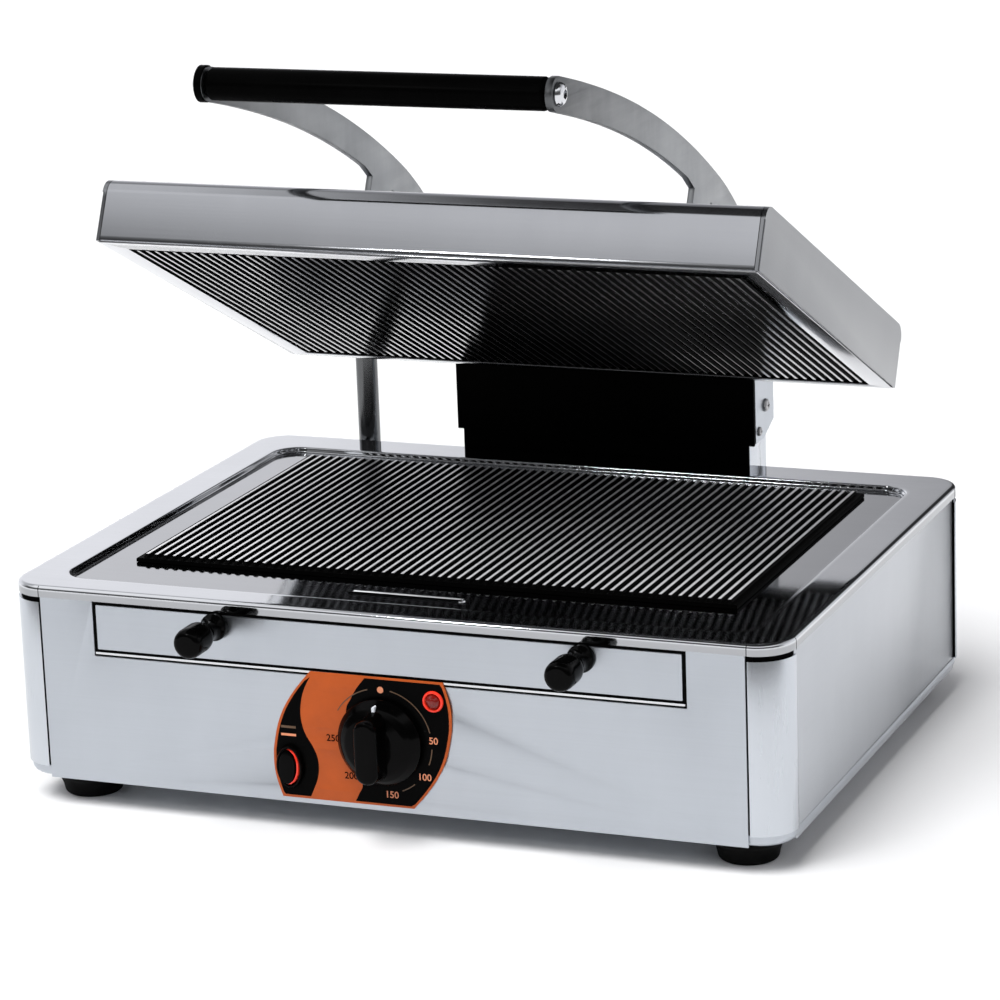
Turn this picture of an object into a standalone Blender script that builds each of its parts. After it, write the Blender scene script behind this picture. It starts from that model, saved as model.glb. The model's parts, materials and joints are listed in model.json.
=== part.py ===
"""Commercial panini press: stainless housing with a ribbed cast-iron plate, and a
self-levelling upper plate carried by a hinged yoke. Metres, +Z up, front at -Y.
The origin is on the floor, under the middle of the machine."""

import math

import bmesh
import bpy
from mathutils import Matrix, Vector
from mathutils.geometry import interpolate_bezier

# Housing
BODY_W = 0.470
BODY_D = 0.359
CORNER_R = 0.0214
FOOT_H = 0.0166
FOOT_AT = (0.2023, 0.1480)
POST_Z = (0.0232, 0.1231)
PANEL_TOP = 0.1253
LIP_Z = 0.1256
RIM_Z = 0.1322
SHEET = 0.0012
GAP = 0.0003

# Recess in the deck, and the grease slot in its floor
RECESS_X = 0.2103
RECESS_Y = (-0.1580, 0.1500)
RECESS_FLOOR = 0.1290
RECESS_DRAFT = 0.0010
PLATE_HOLE_X = 0.1760
PLATE_HOLE_Y = (-0.1010, 0.1240)
SLOT_AT = (-0.0034, -0.1350)
SLOT_LENGTH = 0.0710
SLOT_W = 0.0055

# Ribbed cast-iron plates
RIB_PITCH = 0.0058
RIB_H = 0.0022
LOWER_PLATE_X = 0.1855
LOWER_PLATE_Y = (-0.1100, 0.1326)
LOWER_PLATE_Z = (0.1293, 0.1337)
UPPER_PLATE_X = 0.1863
UPPER_PLATE_S = (0.0160, 0.2760)
UPPER_PLATE_T = 0.0100

# Heating elements and the shield under the lower one
ELEMENT_R = 0.0040
ELEMENT_HALF_X = 0.115
LOWER_ELEMENT_Y = (-0.085, 0.105)
LOWER_ELEMENT_Z = 0.1243
SHIELD_X = 0.1820
SHIELD_Y = (-0.1080, 0.1300)
SHIELD_Z = (0.1097, 0.1272)
SHIELD_T = 0.0010

# Drawer
DRAWER_X = 0.1785
DRAWER_Z = (0.0964, 0.1250)
TRAY_X = 0.1715
TRAY_Y = (-0.1777, -0.1135)
TRAY_Z = (0.0976, 0.1220)
DRAWER_KNOBS = ((-0.1010, 0.1174), (0.1200, 0.1174))
DRAWER_KNOB_L = 0.0395
RUNNER_X = (0.1660, 0.1745)
RUNNER_Z = (0.0958, 0.1080)
RUNNER_T = 0.0010
RUNNER_L = 0.0600

# Controls on the front
FASCIA_MIDDLE = (-0.0136, 0.0578)
FASCIA_CORNER = (0.0504, 0.0380)
FASCIA_BULGE = (0.0549, 0.0104)
FASCIA_FOOT = (0.0302, -0.0378)
FASCIA_T = 0.0007
KNOB_AT = (-0.0015, 0.0583)
KNOB_R = 0.0255
SHAFT_HOLE_R = 0.0045
THERMOSTAT_HALF = 0.018
SWITCH_AT = (-0.0582, 0.0385)
SWITCH_HOLE = (0.0074, 0.0118)
SWITCH_TILT = math.radians(5.0)
LAMP_AT = (0.0311, 0.0846)
LAMP_HOLE_R = 0.0052

# Mains inlet at the back
GLAND_AT = (0.150, 0.054)
GLAND_HOLE_R = 0.0085
GLAND_BORE_R = 0.0045

# Rear tower and yoke hinge
TOWER_X = 0.0963
TOWER_Y = (0.1820, 0.2146)
TOWER_Z = (0.0240, 0.2130)
TOWER_SHEET = 0.0015
HINGE = Vector((0.0, 0.2020, 0.1950))
SHAFT_R = 0.0060
CHEEK_X = (0.0968, 0.1002)
CHEEK_Y = (0.1830, 0.2190)
CHEEK_Z = (0.1445, 0.2195)
CHEEK_SCREW = (0.2019, 0.1651)
ACROSS_TOWER = 0.24

# Yoke: two flat arms and the grip
ARM_X = (0.1010, 0.1050)
ARM_HALF = 0.0097
HANDLE_AXIS = Vector((0.0, -0.1506, 0.4208))
ARM_KNEE = Vector((0.1045, 0.3200))
LUG_Z = 0.3285
GRIP_R = 0.0093

# Lid, in its own frame: s runs back along its top and h stands up from it
LID_TILT = math.radians(26.15)
LID_CORNER = Vector((0.0, -0.0904, 0.3543))
LID_W = 0.4018
LID_D = 0.2856
LID_H = 0.0380
PIVOT_S = 0.160
PIVOT_H = 0.012

# Conduit behind the housing, which takes the upper element's leads up to the lid
CONDUIT_AT = (-0.1664, 0.1885)
CONDUIT_R = 0.0070
CONDUIT_Z = (0.0743, 0.1940)
CONDUIT_BLOCK_HALF = 0.0160
CONDUIT_BLOCK_Y = 0.2005
CONDUIT_BLOCK_Z = (0.0480, 0.0740)
CONDUIT_ENTRY_R = 0.0060

# Sleeved lead from the conduit to the lid, clipped to the left arm on the way
LEAD_X = -0.128
LEAD_R = 0.0035
CLIP_AT = Vector((-0.1094, 0.1870, 0.2360))

HALF_W = BODY_W / 2
HALF_D = BODY_D / 2
FRONT = -HALF_D
LID_BACK = Vector((0.0, math.cos(LID_TILT), -math.sin(LID_TILT)))
LID_UP = Vector((0.0, math.sin(LID_TILT), math.cos(LID_TILT)))
PIVOT = LID_CORNER + LID_BACK * PIVOT_S + LID_UP * PIVOT_H

for old in list(bpy.data.objects):
    bpy.data.objects.remove(old)

parts = bpy.data.collections.new("panini_press")
cutters = bpy.data.collections.new("cutters")
bpy.context.scene.collection.children.link(parts)
bpy.context.scene.collection.children.link(cutters)


def material(name, colour, roughness, metallic):
    made = bpy.data.materials.new(name)
    made.use_nodes = True
    shader = made.node_tree.nodes["Principled BSDF"]
    shader.inputs["Base Color"].default_value = (*colour, 1.0)
    shader.inputs["Roughness"].default_value = roughness
    shader.inputs["Metallic"].default_value = metallic
    return made


STEEL = material("satin_steel", (0.62, 0.64, 0.67), 0.28, 1.0)
MIRROR = material("polished_steel", (0.60, 0.61, 0.63), 0.08, 1.0)
ZINC = material("zinc_steel", (0.50, 0.50, 0.50), 0.45, 1.0)
IRON = material("cast_iron", (0.025, 0.025, 0.027), 0.5, 0.6)
BLACK_PAINT = material("black_paint", (0.01, 0.01, 0.01), 0.45, 0.0)
RUBBER = material("rubber", (0.012, 0.012, 0.012), 0.8, 0.0)
BAKELITE = material("bakelite", (0.008, 0.008, 0.009), 0.25, 0.0)
ORANGE = material("fascia_orange", (0.60, 0.13, 0.03), 0.35, 0.0)
RED_LENS = material("red_lens", (0.55, 0.02, 0.01), 0.15, 0.0)
FIBRE = material("insulation_fibre", (0.75, 0.72, 0.66), 0.9, 0.0)
INCOLOY = material("element_sheath", (0.16, 0.15, 0.14), 0.5, 0.8)
SLEEVE = material("braided_sleeve", (0.30, 0.30, 0.31), 0.5, 0.8)
CERAMIC = material("white_ceramic", (0.8, 0.8, 0.78), 0.4, 0.0)


def joint_frame(name, at, rotation=0.0):
    """An empty on a joint's axis, which that joint's pieces are parented to."""
    empty = bpy.data.objects.new(name, None)
    empty.location = at
    empty.rotation_euler.x = rotation
    parts.objects.link(empty)
    return empty


HOUSING = joint_frame("housing_frame", (0, 0, 0))
YOKE = joint_frame("yoke_axis", HINGE)
LID = joint_frame("lid_axis", PIVOT, -LID_TILT)
DRAWER = joint_frame("drawer_axis", (0, FRONT, 0))
KNOB = joint_frame("knob_axis", (KNOB_AT[0], FRONT, KNOB_AT[1]))
ROCKER = joint_frame("rocker_axis", (SWITCH_AT[0], FRONT, SWITCH_AT[1]))


def place(obj, look, frame, is_cutter=False):
    """Links an object, gives it its material, and parents it without moving it. The
    lid's pieces are the exception: they are drawn in the lid's own frame."""
    (cutters if is_cutter else parts).objects.link(obj)
    obj.data.materials.append(look)
    obj.parent = frame
    if frame is not LID:
        obj.matrix_parent_inverse = Matrix.Translation(-frame.location)
    if is_cutter:
        obj.hide_render = True
        obj.display_type = "WIRE"
    return obj


def from_bmesh(name, bm, look, frame=HOUSING, smooth=None, is_cutter=False):
    bmesh.ops.recalc_face_normals(bm, faces=bm.faces)
    mesh = bpy.data.meshes.new(name)
    bm.to_mesh(mesh)
    bm.free()
    if smooth is not None:
        mesh.shade_smooth()
        mesh.set_sharp_from_angle(angle=math.radians(smooth))
    return place(bpy.data.objects.new(name, mesh), look, frame, is_cutter)


def box(name, low, high, look, frame=HOUSING, bevel=0.0, is_cutter=False):
    """A block between two corners."""
    bm = bmesh.new()
    bmesh.ops.create_cube(bm, size=1.0)
    size = Vector(high) - Vector(low)
    middle = (Vector(high) + Vector(low)) / 2
    bmesh.ops.scale(bm, vec=size, verts=bm.verts)
    bmesh.ops.translate(bm, vec=middle, verts=bm.verts)
    if bevel:
        bmesh.ops.bevel(
            bm, geom=bm.edges[:], offset=bevel, segments=1, affect="EDGES"
        )
    return from_bmesh(name, bm, look, frame, is_cutter=is_cutter)


def arc(middle, radius, start, end, steps):
    """Points on a circle, from one angle to another in degrees, both ends included."""
    points = []
    for step in range(steps + 1):
        angle = math.radians(start + (end - start) * step / steps)
        points.append(
            (middle[0] + radius * math.cos(angle), middle[1] + radius * math.sin(angle))
        )
    return points


def rounded_rectangle(half_x, low_y, high_y, radius, steps=5):
    """An outline with round corners, anticlockwise from the right-hand side."""
    x = half_x - radius
    low = low_y + radius
    high = high_y - radius
    return (
        arc((x, high), radius, 0, 90, steps)
        + arc((-x, high), radius, 90, 180, steps)
        + arc((-x, low), radius, 180, 270, steps)
        + arc((x, low), radius, 270, 360, steps)
    )


def circle(middle, radius, steps=20):
    return arc(middle, radius, 0, 360 - 360 / steps, steps - 1)


def oval(middle, half_x, half_z, steps=20):
    return [(middle[0] + half_x * x, middle[1] + half_z * z) for x, z in circle((0, 0), 1.0, steps)]


def flat(name, outlines, thickness, look, plane, offset, frame=HOUSING, is_cutter=False):
    """A flat piece: the first outline less the others, on a plane whose normal is
    that axis, from offset to offset plus thickness along it."""
    curve = bpy.data.curves.new(name, "CURVE")
    curve.dimensions = "2D"
    curve.fill_mode = "BOTH"
    curve.extrude = thickness / 2
    for outline in outlines:
        spline = curve.splines.new("POLY")
        spline.points.add(len(outline) - 1)
        spline.use_cyclic_u = True
        for point, (across, up) in zip(spline.points, outline):
            point.co = (across, up, 0.0, 1.0)
    draft = bpy.data.objects.new(name + "_draft", curve)
    parts.objects.link(draft)
    middle = offset + thickness / 2
    turns = {
        "Z": Matrix.Translation((0, 0, middle)),
        "Y": Matrix.Translation((0, middle, 0)) @ Matrix.Rotation(math.pi / 2, 4, "X"),
        "X": Matrix.Translation((middle, 0, 0))
        @ Matrix(((0, 0, 1, 0), (1, 0, 0, 0), (0, 1, 0, 0), (0, 0, 0, 1))),
    }
    bpy.context.view_layer.update()
    graph = bpy.context.evaluated_depsgraph_get()
    mesh = bpy.data.meshes.new_from_object(draft.evaluated_get(graph))
    bpy.data.objects.remove(draft)
    bm = bmesh.new()
    bm.from_mesh(mesh)
    bmesh.ops.remove_doubles(bm, verts=bm.verts, dist=0.00001)
    bmesh.ops.transform(bm, matrix=turns[plane], verts=bm.verts)
    return from_bmesh(name, bm, look, frame, is_cutter=is_cutter)


def turned(name, profile, at, axis, look, frame=HOUSING, steps=20, is_cutter=False):
    """A turned piece. Its profile is (radius, distance along the axis) pairs."""
    bm = bmesh.new()
    rings = []
    for radius, along in profile:
        if radius == 0.0:
            rings.append([bm.verts.new((0, 0, along))])
            continue
        ring = circle((0, 0), radius, steps)
        rings.append([bm.verts.new((x, y, along)) for x, y in ring])
    for lower, upper in zip(rings, rings[1:]):
        skin(bm, lower, upper)
    for ring in (rings[0], rings[-1]):
        if len(ring) > 1 and rings[0] is not rings[-1]:
            bm.faces.new(ring)
    turn = Vector((0, 0, 1)).rotation_difference(Vector(axis)).to_matrix().to_4x4()
    bmesh.ops.transform(bm, matrix=Matrix.Translation(at) @ turn, verts=bm.verts)
    return from_bmesh(name, bm, look, frame, smooth=35, is_cutter=is_cutter)


def skin(bm, lower, upper):
    """Faces between two rings, or between a ring and a point."""
    count = max(len(lower), len(upper))
    for i in range(count):
        j = (i + 1) % count
        corners = [lower[i % len(lower)], lower[j % len(lower)]]
        corners += [upper[j % len(upper)], upper[i % len(upper)]]
        face = list(dict.fromkeys(corners))
        bm.faces.new(face)


def hollow_turned(name, profile, at, axis, look, frame=HOUSING, steps=20):
    """A turned piece with a hole right through it: the profile is a closed loop."""
    bm = bmesh.new()
    rings = []
    for radius, along in profile:
        ring = circle((0, 0), radius, steps)
        rings.append([bm.verts.new((x, y, along)) for x, y in ring])
    for lower, upper in zip(rings, rings[1:] + rings[:1]):
        skin(bm, lower, upper)
    turn = Vector((0, 0, 1)).rotation_difference(Vector(axis)).to_matrix().to_4x4()
    bmesh.ops.transform(bm, matrix=Matrix.Translation(at) @ turn, verts=bm.verts)
    return from_bmesh(name, bm, look, frame, smooth=35)


def dish(name, outline, wall, floor, low, high, look, frame=HOUSING):
    """An open-topped tray with a flat floor."""
    bm = bmesh.new()
    bottom = bm.faces.new([bm.verts.new((x, y, low)) for x, y in outline])
    made = bmesh.ops.extrude_face_region(bm, geom=[bottom])["geom"]
    top_verts = [item for item in made if isinstance(item, bmesh.types.BMVert)]
    bmesh.ops.translate(bm, vec=(0, 0, high - low), verts=top_verts)
    top = [item for item in made if isinstance(item, bmesh.types.BMFace)][0]
    bmesh.ops.inset_region(bm, faces=[top], thickness=wall, use_even_offset=True)
    bmesh.ops.recalc_face_normals(bm, faces=bm.faces)
    bmesh.ops.translate(bm, vec=(0, 0, low + floor - high), verts=top.verts)
    return from_bmesh(name, bm, look, frame)


def tube(name, points, radius, look, frame=HOUSING, sides=8):
    """A rod or hose along a smooth route."""
    curve = bpy.data.curves.new(name, "CURVE")
    curve.dimensions = "3D"
    curve.bevel_depth = radius
    curve.bevel_resolution = (sides - 4) // 2
    curve.use_fill_caps = True
    spline = curve.splines.new("POLY")
    spline.points.add(len(points) - 1)
    for point, co in zip(spline.points, points):
        point.co = (*co, 1.0)
    return place(bpy.data.objects.new(name, curve), look, frame)


def cut(obj, cutter, operation="DIFFERENCE"):
    modifier = obj.modifiers.new(cutter.name, "BOOLEAN")
    modifier.operation = operation
    modifier.object = cutter
    modifier.solver = "EXACT"


def smooth_route(knots, steps):
    """Points on a curve through the knots (Catmull-Rom)."""
    ends = [Vector(knots[0]) * 2 - Vector(knots[1])]
    tails = [Vector(knots[-1]) * 2 - Vector(knots[-2])]
    run = ends + [Vector(knot) for knot in knots] + tails
    route = []
    for before, start, end, after in zip(run, run[1:], run[2:], run[3:]):
        one = start + (end - before) / 6
        two = end - (after - start) / 6
        route += interpolate_bezier(start, one, two, end, steps + 1)[:-1]
    return route + [run[-2]]


def ribbed_plate(name, half_x, low, high, base, tip, look, frame):
    """A cast plate with ribs from front to back. Base and tip are the heights of
    its flat face and of the rib tips, either way up."""
    count = int(2 * half_x / RIB_PITCH)
    margin = half_x - count * RIB_PITCH / 2
    toward = 1 if tip > base else -1
    root = tip - toward * RIB_H
    section = [(-half_x, base), (-half_x, root)]
    for rib in range(count):
        left = -half_x + margin + rib * RIB_PITCH
        section += [(left + 0.15 * RIB_PITCH, root), (left + 0.35 * RIB_PITCH, tip)]
        section += [(left + 0.65 * RIB_PITCH, tip), (left + 0.85 * RIB_PITCH, root)]
    section += [(half_x, root), (half_x, base)]
    bm = bmesh.new()
    end = bm.faces.new([bm.verts.new((x, low, z)) for x, z in section])
    made = bmesh.ops.extrude_face_region(bm, geom=[end])["geom"]
    far = [item for item in made if isinstance(item, bmesh.types.BMVert)]
    bmesh.ops.translate(bm, vec=(0, high - low, 0), verts=far)
    return from_bmesh(name, bm, look, frame)


def both_sides(x_range):
    """The same span on the right and on the left, with each side's name."""
    return (("right", x_range[0]), ("left", -x_range[1]))


# Housing


def bottom_pan():
    outline = rounded_rectangle(
        HALF_W - 0.0015, -HALF_D + 0.0015, HALF_D - 0.0015, CORNER_R - 0.0015
    )
    dish("bottom_pan", outline, SHEET, SHEET, FOOT_H, POST_Z[0] - GAP, STEEL)


def control_holes():
    """The holes for the dial's shaft, the switch and the lamp."""
    shaft = circle(KNOB_AT, SHAFT_HOLE_R, 12)
    return [shaft, oval(SWITCH_AT, *SWITCH_HOLE), circle(LAMP_AT, LAMP_HOLE_R, 12)]


def front_panel():
    edge = HALF_W - CORNER_R - GAP
    opening = DRAWER_X + 0.0009
    sill = DRAWER_Z[0] - 0.0010
    outline = [(-edge, POST_Z[0]), (edge, POST_Z[0]), (edge, PANEL_TOP)]
    outline += [(opening, PANEL_TOP), (opening, sill), (-opening, sill)]
    outline += [(-opening, PANEL_TOP), (-edge, PANEL_TOP)]
    flat("front_panel", [outline] + control_holes(), SHEET, STEEL, "Y", FRONT)


def side_and_rear_panels():
    reach = HALF_D - CORNER_R - GAP
    for side, x in both_sides((HALF_W - SHEET, HALF_W)):
        low = (x, -reach, POST_Z[0])
        box("side_panel_" + side, low, (x + SHEET, reach, PANEL_TOP), STEEL)
    edge = HALF_W - CORNER_R - GAP
    outline = [(-edge, POST_Z[0]), (edge, POST_Z[0]), (edge, PANEL_TOP), (-edge, PANEL_TOP)]
    entry = circle((CONDUIT_AT[0], sum(CONDUIT_BLOCK_Z) / 2), CONDUIT_ENTRY_R, 12)
    holes = [circle(GLAND_AT, GLAND_HOLE_R), entry]
    flat("rear_panel", [outline] + holes, SHEET, STEEL, "Y", HALF_D - SHEET)


def corner_posts():
    names = ("rear_right", "rear_left", "front_left", "front_right")
    signs = ((1, 1), (-1, 1), (-1, -1), (1, -1))
    for turn, (name, (sx, sy)) in enumerate(zip(names, signs)):
        middle = (sx * (HALF_W - CORNER_R), sy * (HALF_D - CORNER_R))
        outer = arc(middle, CORNER_R, turn * 90, turn * 90 + 90, 8)
        inner = arc(middle, CORNER_R - 0.0015, turn * 90 + 90, turn * 90, 8)
        height = POST_Z[1] - POST_Z[0]
        flat("corner_post_" + name, [outer + inner], height, STEEL, "Z", POST_Z[0])


def deck():
    """One pressed sheet: rolled outer lip, flat rim, recess, and the plate's opening."""
    sections = (
        (HALF_W, -HALF_D, HALF_D, CORNER_R, LIP_Z),
        (HALF_W, -HALF_D, HALF_D, CORNER_R, RIM_Z - 0.0025),
        (HALF_W - 0.0008, -HALF_D + 0.0008, HALF_D - 0.0008, CORNER_R - 0.0008, RIM_Z - 0.0007),
        (HALF_W - 0.0025, -HALF_D + 0.0025, HALF_D - 0.0025, CORNER_R - 0.0025, RIM_Z),
        (RECESS_X, RECESS_Y[0], RECESS_Y[1], 0.0165, RIM_Z),
        (
            RECESS_X - RECESS_DRAFT,
            RECESS_Y[0] + RECESS_DRAFT,
            RECESS_Y[1] - RECESS_DRAFT,
            0.0150,
            RECESS_FLOOR,
        ),
        (PLATE_HOLE_X, PLATE_HOLE_Y[0], PLATE_HOLE_Y[1], 0.0040, RECESS_FLOOR),
    )
    bm = bmesh.new()
    rings = []
    for half_x, low, high, radius, z in sections:
        outline = rounded_rectangle(half_x, low, high, radius)
        rings.append([bm.verts.new((x, y, z)) for x, y in outline])
    for outer, inner in zip(rings, rings[1:]):
        skin(bm, outer, inner)
    made = from_bmesh("deck", bm, MIRROR)
    solid = made.modifiers.new("sheet", "SOLIDIFY")
    solid.thickness = SHEET
    solid.offset = -1.0 if made.data.polygons[-1].normal.z > 0 else 1.0
    solid.use_even_offset = True
    half = SLOT_LENGTH / 2 - SLOT_W / 2
    right = (SLOT_AT[0] + half, SLOT_AT[1])
    left = (SLOT_AT[0] - half, SLOT_AT[1])
    stadium = arc(right, SLOT_W / 2, -90, 90, 6) + arc(left, SLOT_W / 2, 90, 270, 6)
    slot = flat("grease_slot", [stadium], 0.01, MIRROR, "Z", RECESS_FLOOR - 0.005, is_cutter=True)
    cut(made, slot)


def feet():
    profile = [(0.0, 0.0), (0.0158, 0.0), (0.0170, 0.0012), (0.0186, 0.0070)]
    profile += [(0.0222, 0.0135), (0.0222, FOOT_H - GAP), (0.0, FOOT_H - GAP)]
    for side, x in (("right", FOOT_AT[0]), ("left", -FOOT_AT[0])):
        for end, y in (("front", -FOOT_AT[1]), ("rear", FOOT_AT[1])):
            turned("foot_%s_%s" % (end, side), profile, (x, y, 0), (0, 0, 1), RUBBER)


# Lower plate and its heating


def element_route(half_x, low, high, z, passes=4):
    """A heating element's serpentine, with both ends at the front left."""
    radius = (high - low) / (2 * passes)
    points = []
    for turn in range(passes):
        y = low + radius + 2 * radius * turn
        ends = (-half_x, half_x) if turn % 2 == 0 else (half_x, -half_x)
        points.append((ends[0], y, z))
        points.append((ends[1], y, z))
        if turn == passes - 1:
            break
        sign = 1 if ends[1] > 0 else -1
        for across, along in arc((0, y + radius), radius, -60, 60, 4):
            points.append((ends[1] + sign * across, along, z))
    return points


def lower_heating():
    ribbed_plate(
        "lower_plate", LOWER_PLATE_X, *LOWER_PLATE_Y, *LOWER_PLATE_Z, IRON, HOUSING
    )
    route = element_route(ELEMENT_HALF_X, *LOWER_ELEMENT_Y, LOWER_ELEMENT_Z)
    tube("lower_heating_element", route, ELEMENT_R, INCOLOY)
    outline = rounded_rectangle(SHIELD_X, *SHIELD_Y, 0.006, 3)
    dish("lower_heat_shield", outline, SHIELD_T, SHIELD_T, *SHIELD_Z, ZINC)


# Drawer


def drawer():
    outline = rounded_rectangle(TRAY_X, *TRAY_Y, 0.003, 2)
    dish("drawer_tray", outline, 0.0012, 0.0012, *TRAY_Z, STEEL, DRAWER)
    low = (-DRAWER_X, FRONT, DRAWER_Z[0])
    box("drawer_front", low, (DRAWER_X, FRONT + 0.0015, DRAWER_Z[1]), STEEL, DRAWER)
    profile = [(0.0, 0.0), (0.0078, 0.0), (0.0078, 0.0045), (0.0058, 0.0075), (0.0056, 0.0130)]
    profile += [(0.0080, 0.0185), (0.0088, 0.0220), (0.0088, 0.0345), (0.0076, 0.0378)]
    profile += [(0.0050, DRAWER_KNOB_L - GAP), (0.0, DRAWER_KNOB_L - GAP)]
    for side, (x, z) in zip(("left", "right"), DRAWER_KNOBS):
        at = (x, FRONT - GAP, z)
        turned("drawer_knob_" + side, profile, at, (0, -1, 0), BAKELITE, DRAWER)
    inner, outer = RUNNER_X
    shelf, top = RUNNER_Z
    for side, sign in (("right", 1), ("left", -1)):
        angle = [(inner, shelf), (outer, shelf), (outer, top), (outer - RUNNER_T, top)]
        angle += [(outer - RUNNER_T, shelf + RUNNER_T), (inner, shelf + RUNNER_T)]
        outline = [(sign * x, z) for x, z in angle]
        flat("drawer_runner_" + side, [outline], RUNNER_L, ZINC, "Y", FRONT + 0.0020)


# Controls


def fascia_outline():
    """A panel with straight top and bottom edges and bowed ends, the same when it
    is turned half round."""
    corner = Vector(FASCIA_CORNER)
    bulge = Vector(FASCIA_BULGE)
    foot = Vector(FASCIA_FOOT)
    bow = [corner, corner.lerp(bulge, 0.55) + Vector((0.0016, 0.0)), bulge]
    for share in (0.25, 0.5, 0.75):
        swell = 0.0052 * math.sin(math.pi * share)
        bow.append(bulge.lerp(foot, share) + Vector((swell, -0.1 * swell)))
    bow.append(foot)
    half = [(point.x, point.y) for point in bow]
    whole = half + [(-x, -z) for x, z in half]
    return [(FASCIA_MIDDLE[0] + x, FASCIA_MIDDLE[1] + z) for x, z in whole]


def controls():
    face = FRONT - GAP - FASCIA_T
    flat("fascia", [fascia_outline()] + control_holes(), FASCIA_T, ORANGE, "Y", face)
    half = THERMOSTAT_HALF
    low = (KNOB_AT[0] - half, FRONT + 0.0036, KNOB_AT[1] - half)
    high = (KNOB_AT[0] + half, FRONT + 0.0290, KNOB_AT[1] + half)
    box("thermostat_body", low, high, ZINC, bevel=0.001)
    at = (KNOB_AT[0], face, KNOB_AT[1])
    shaft = [(0.0, -0.0042), (0.0030, -0.0042), (0.0030, 0.0120), (0.0, 0.0120)]
    turned("thermostat_shaft", shaft, at, (0, -1, 0), ZINC, KNOB, 12)
    dial = [(0.0, 0.0012), (KNOB_R, 0.0012), (KNOB_R, 0.0042), (0.0232, 0.0068)]
    dial += [(0.0205, 0.0100), (0.0, 0.0112)]
    knob = turned("thermostat_knob", dial, at, (0, -1, 0), BAKELITE, KNOB, 32)
    top = (KNOB_AT[0], KNOB_AT[1] + 0.0125)
    bottom = (KNOB_AT[0], KNOB_AT[1] - 0.0125)
    grip = arc(top, 0.0072, 0, 180, 8) + arc(bottom, 0.0072, 180, 360, 8)
    bar = flat("knob_grip_bar", [grip], 0.0190, BAKELITE, "Y", face - 0.0240, KNOB, True)
    cut(knob, bar, "UNION")
    bore = [circle(KNOB_AT, 0.0033, 12)]
    cut(knob, flat("knob_bore", bore, 0.0130, BAKELITE, "Y", face - 0.0125, KNOB, True))
    power_switch(face)
    lamp = [(0.0, -0.0120), (0.0048, -0.0120), (0.0048, 0.0002), (0.0062, 0.0003)]
    lamp += [(0.0062, 0.0016), (0.0046, 0.0036), (0.0, 0.0046)]
    turned("pilot_lamp", lamp, (LAMP_AT[0], face, LAMP_AT[1]), (0, -1, 0), RED_LENS, steps=16)


def oval_piece(name, stages, face, frame):
    """A solid through ovals round the switch. A stage is (half width, half height,
    distance in front of the fascia)."""
    bm = bmesh.new()
    rings = []
    for half_x, half_z, out in stages:
        outline = oval(SWITCH_AT, half_x, half_z)
        rings.append([bm.verts.new((x, face - out, z)) for x, z in outline])
    for lower, upper in zip(rings, rings[1:]):
        skin(bm, lower, upper)
    bm.faces.new(rings[0])
    bm.faces.new(rings[-1])
    if frame is ROCKER:
        turn = Matrix.Rotation(-SWITCH_TILT, 4, "X")
        about = Matrix.Translation(frame.location)
        bmesh.ops.transform(bm, matrix=about @ turn @ about.inverted(), verts=bm.verts)
    return from_bmesh(name, bm, BAKELITE, frame, smooth=35)


def power_switch(face):
    """An oval rocker in its cup. It rests tilted, with the top pressed in."""
    cup = [(0.0070, 0.0114, -0.0200), (0.0070, 0.0114, GAP), (0.0083, 0.0128, GAP)]
    cup += [(0.0081, 0.0126, 0.0024), (0.0072, 0.0116, 0.0032), (0.0064, 0.0108, 0.0032)]
    cup += [(0.0064, 0.0108, -0.0070)]
    oval_piece("power_switch_housing", cup, face, HOUSING)
    rocker = [(0.0056, 0.0098, -0.0050), (0.0059, 0.0101, 0.0010), (0.0059, 0.0101, 0.0036)]
    rocker += [(0.0050, 0.0090, 0.0044)]
    oval_piece("power_rocker", rocker, face, ROCKER)


# Electrical inlet

def electrics():
    at = (GLAND_AT[0], HALF_D, GLAND_AT[1])
    gland = [(0.0045, -0.0060), (0.0080, -0.0060), (0.0080, GAP), (0.0120, GAP)]
    gland += [(0.0120, 0.0060), (0.0095, 0.0065), (0.0085, 0.0160), (0.0045, 0.0160)]
    hollow_turned("mains_cable_gland", gland, at, (0, 1, 0), BAKELITE, steps=12)
    low = (0.110, 0.1200, FOOT_H + SHEET + GAP)
    box("terminal_block", low, (0.150, 0.1400, FOOT_H + 0.0180), CERAMIC, bevel=0.001)


def conduit():
    """A tube that stands in a block on the rear panel, over the hole its leads use."""
    inner = CONDUIT_R - 0.0015
    low, high = CONDUIT_Z
    wall = [(inner, low), (CONDUIT_R, low), (CONDUIT_R, high), (inner, high)]
    hollow_turned("conduit_tube", wall, (*CONDUIT_AT, 0), (0, 0, 1), STEEL, steps=16)
    low = (CONDUIT_AT[0] - CONDUIT_BLOCK_HALF, HALF_D + GAP, CONDUIT_BLOCK_Z[0])
    high = (CONDUIT_AT[0] + CONDUIT_BLOCK_HALF, CONDUIT_BLOCK_Y, CONDUIT_BLOCK_Z[1])
    box("conduit_entry_block", low, high, BAKELITE, bevel=0.002)


# Tower and hinge


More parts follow.
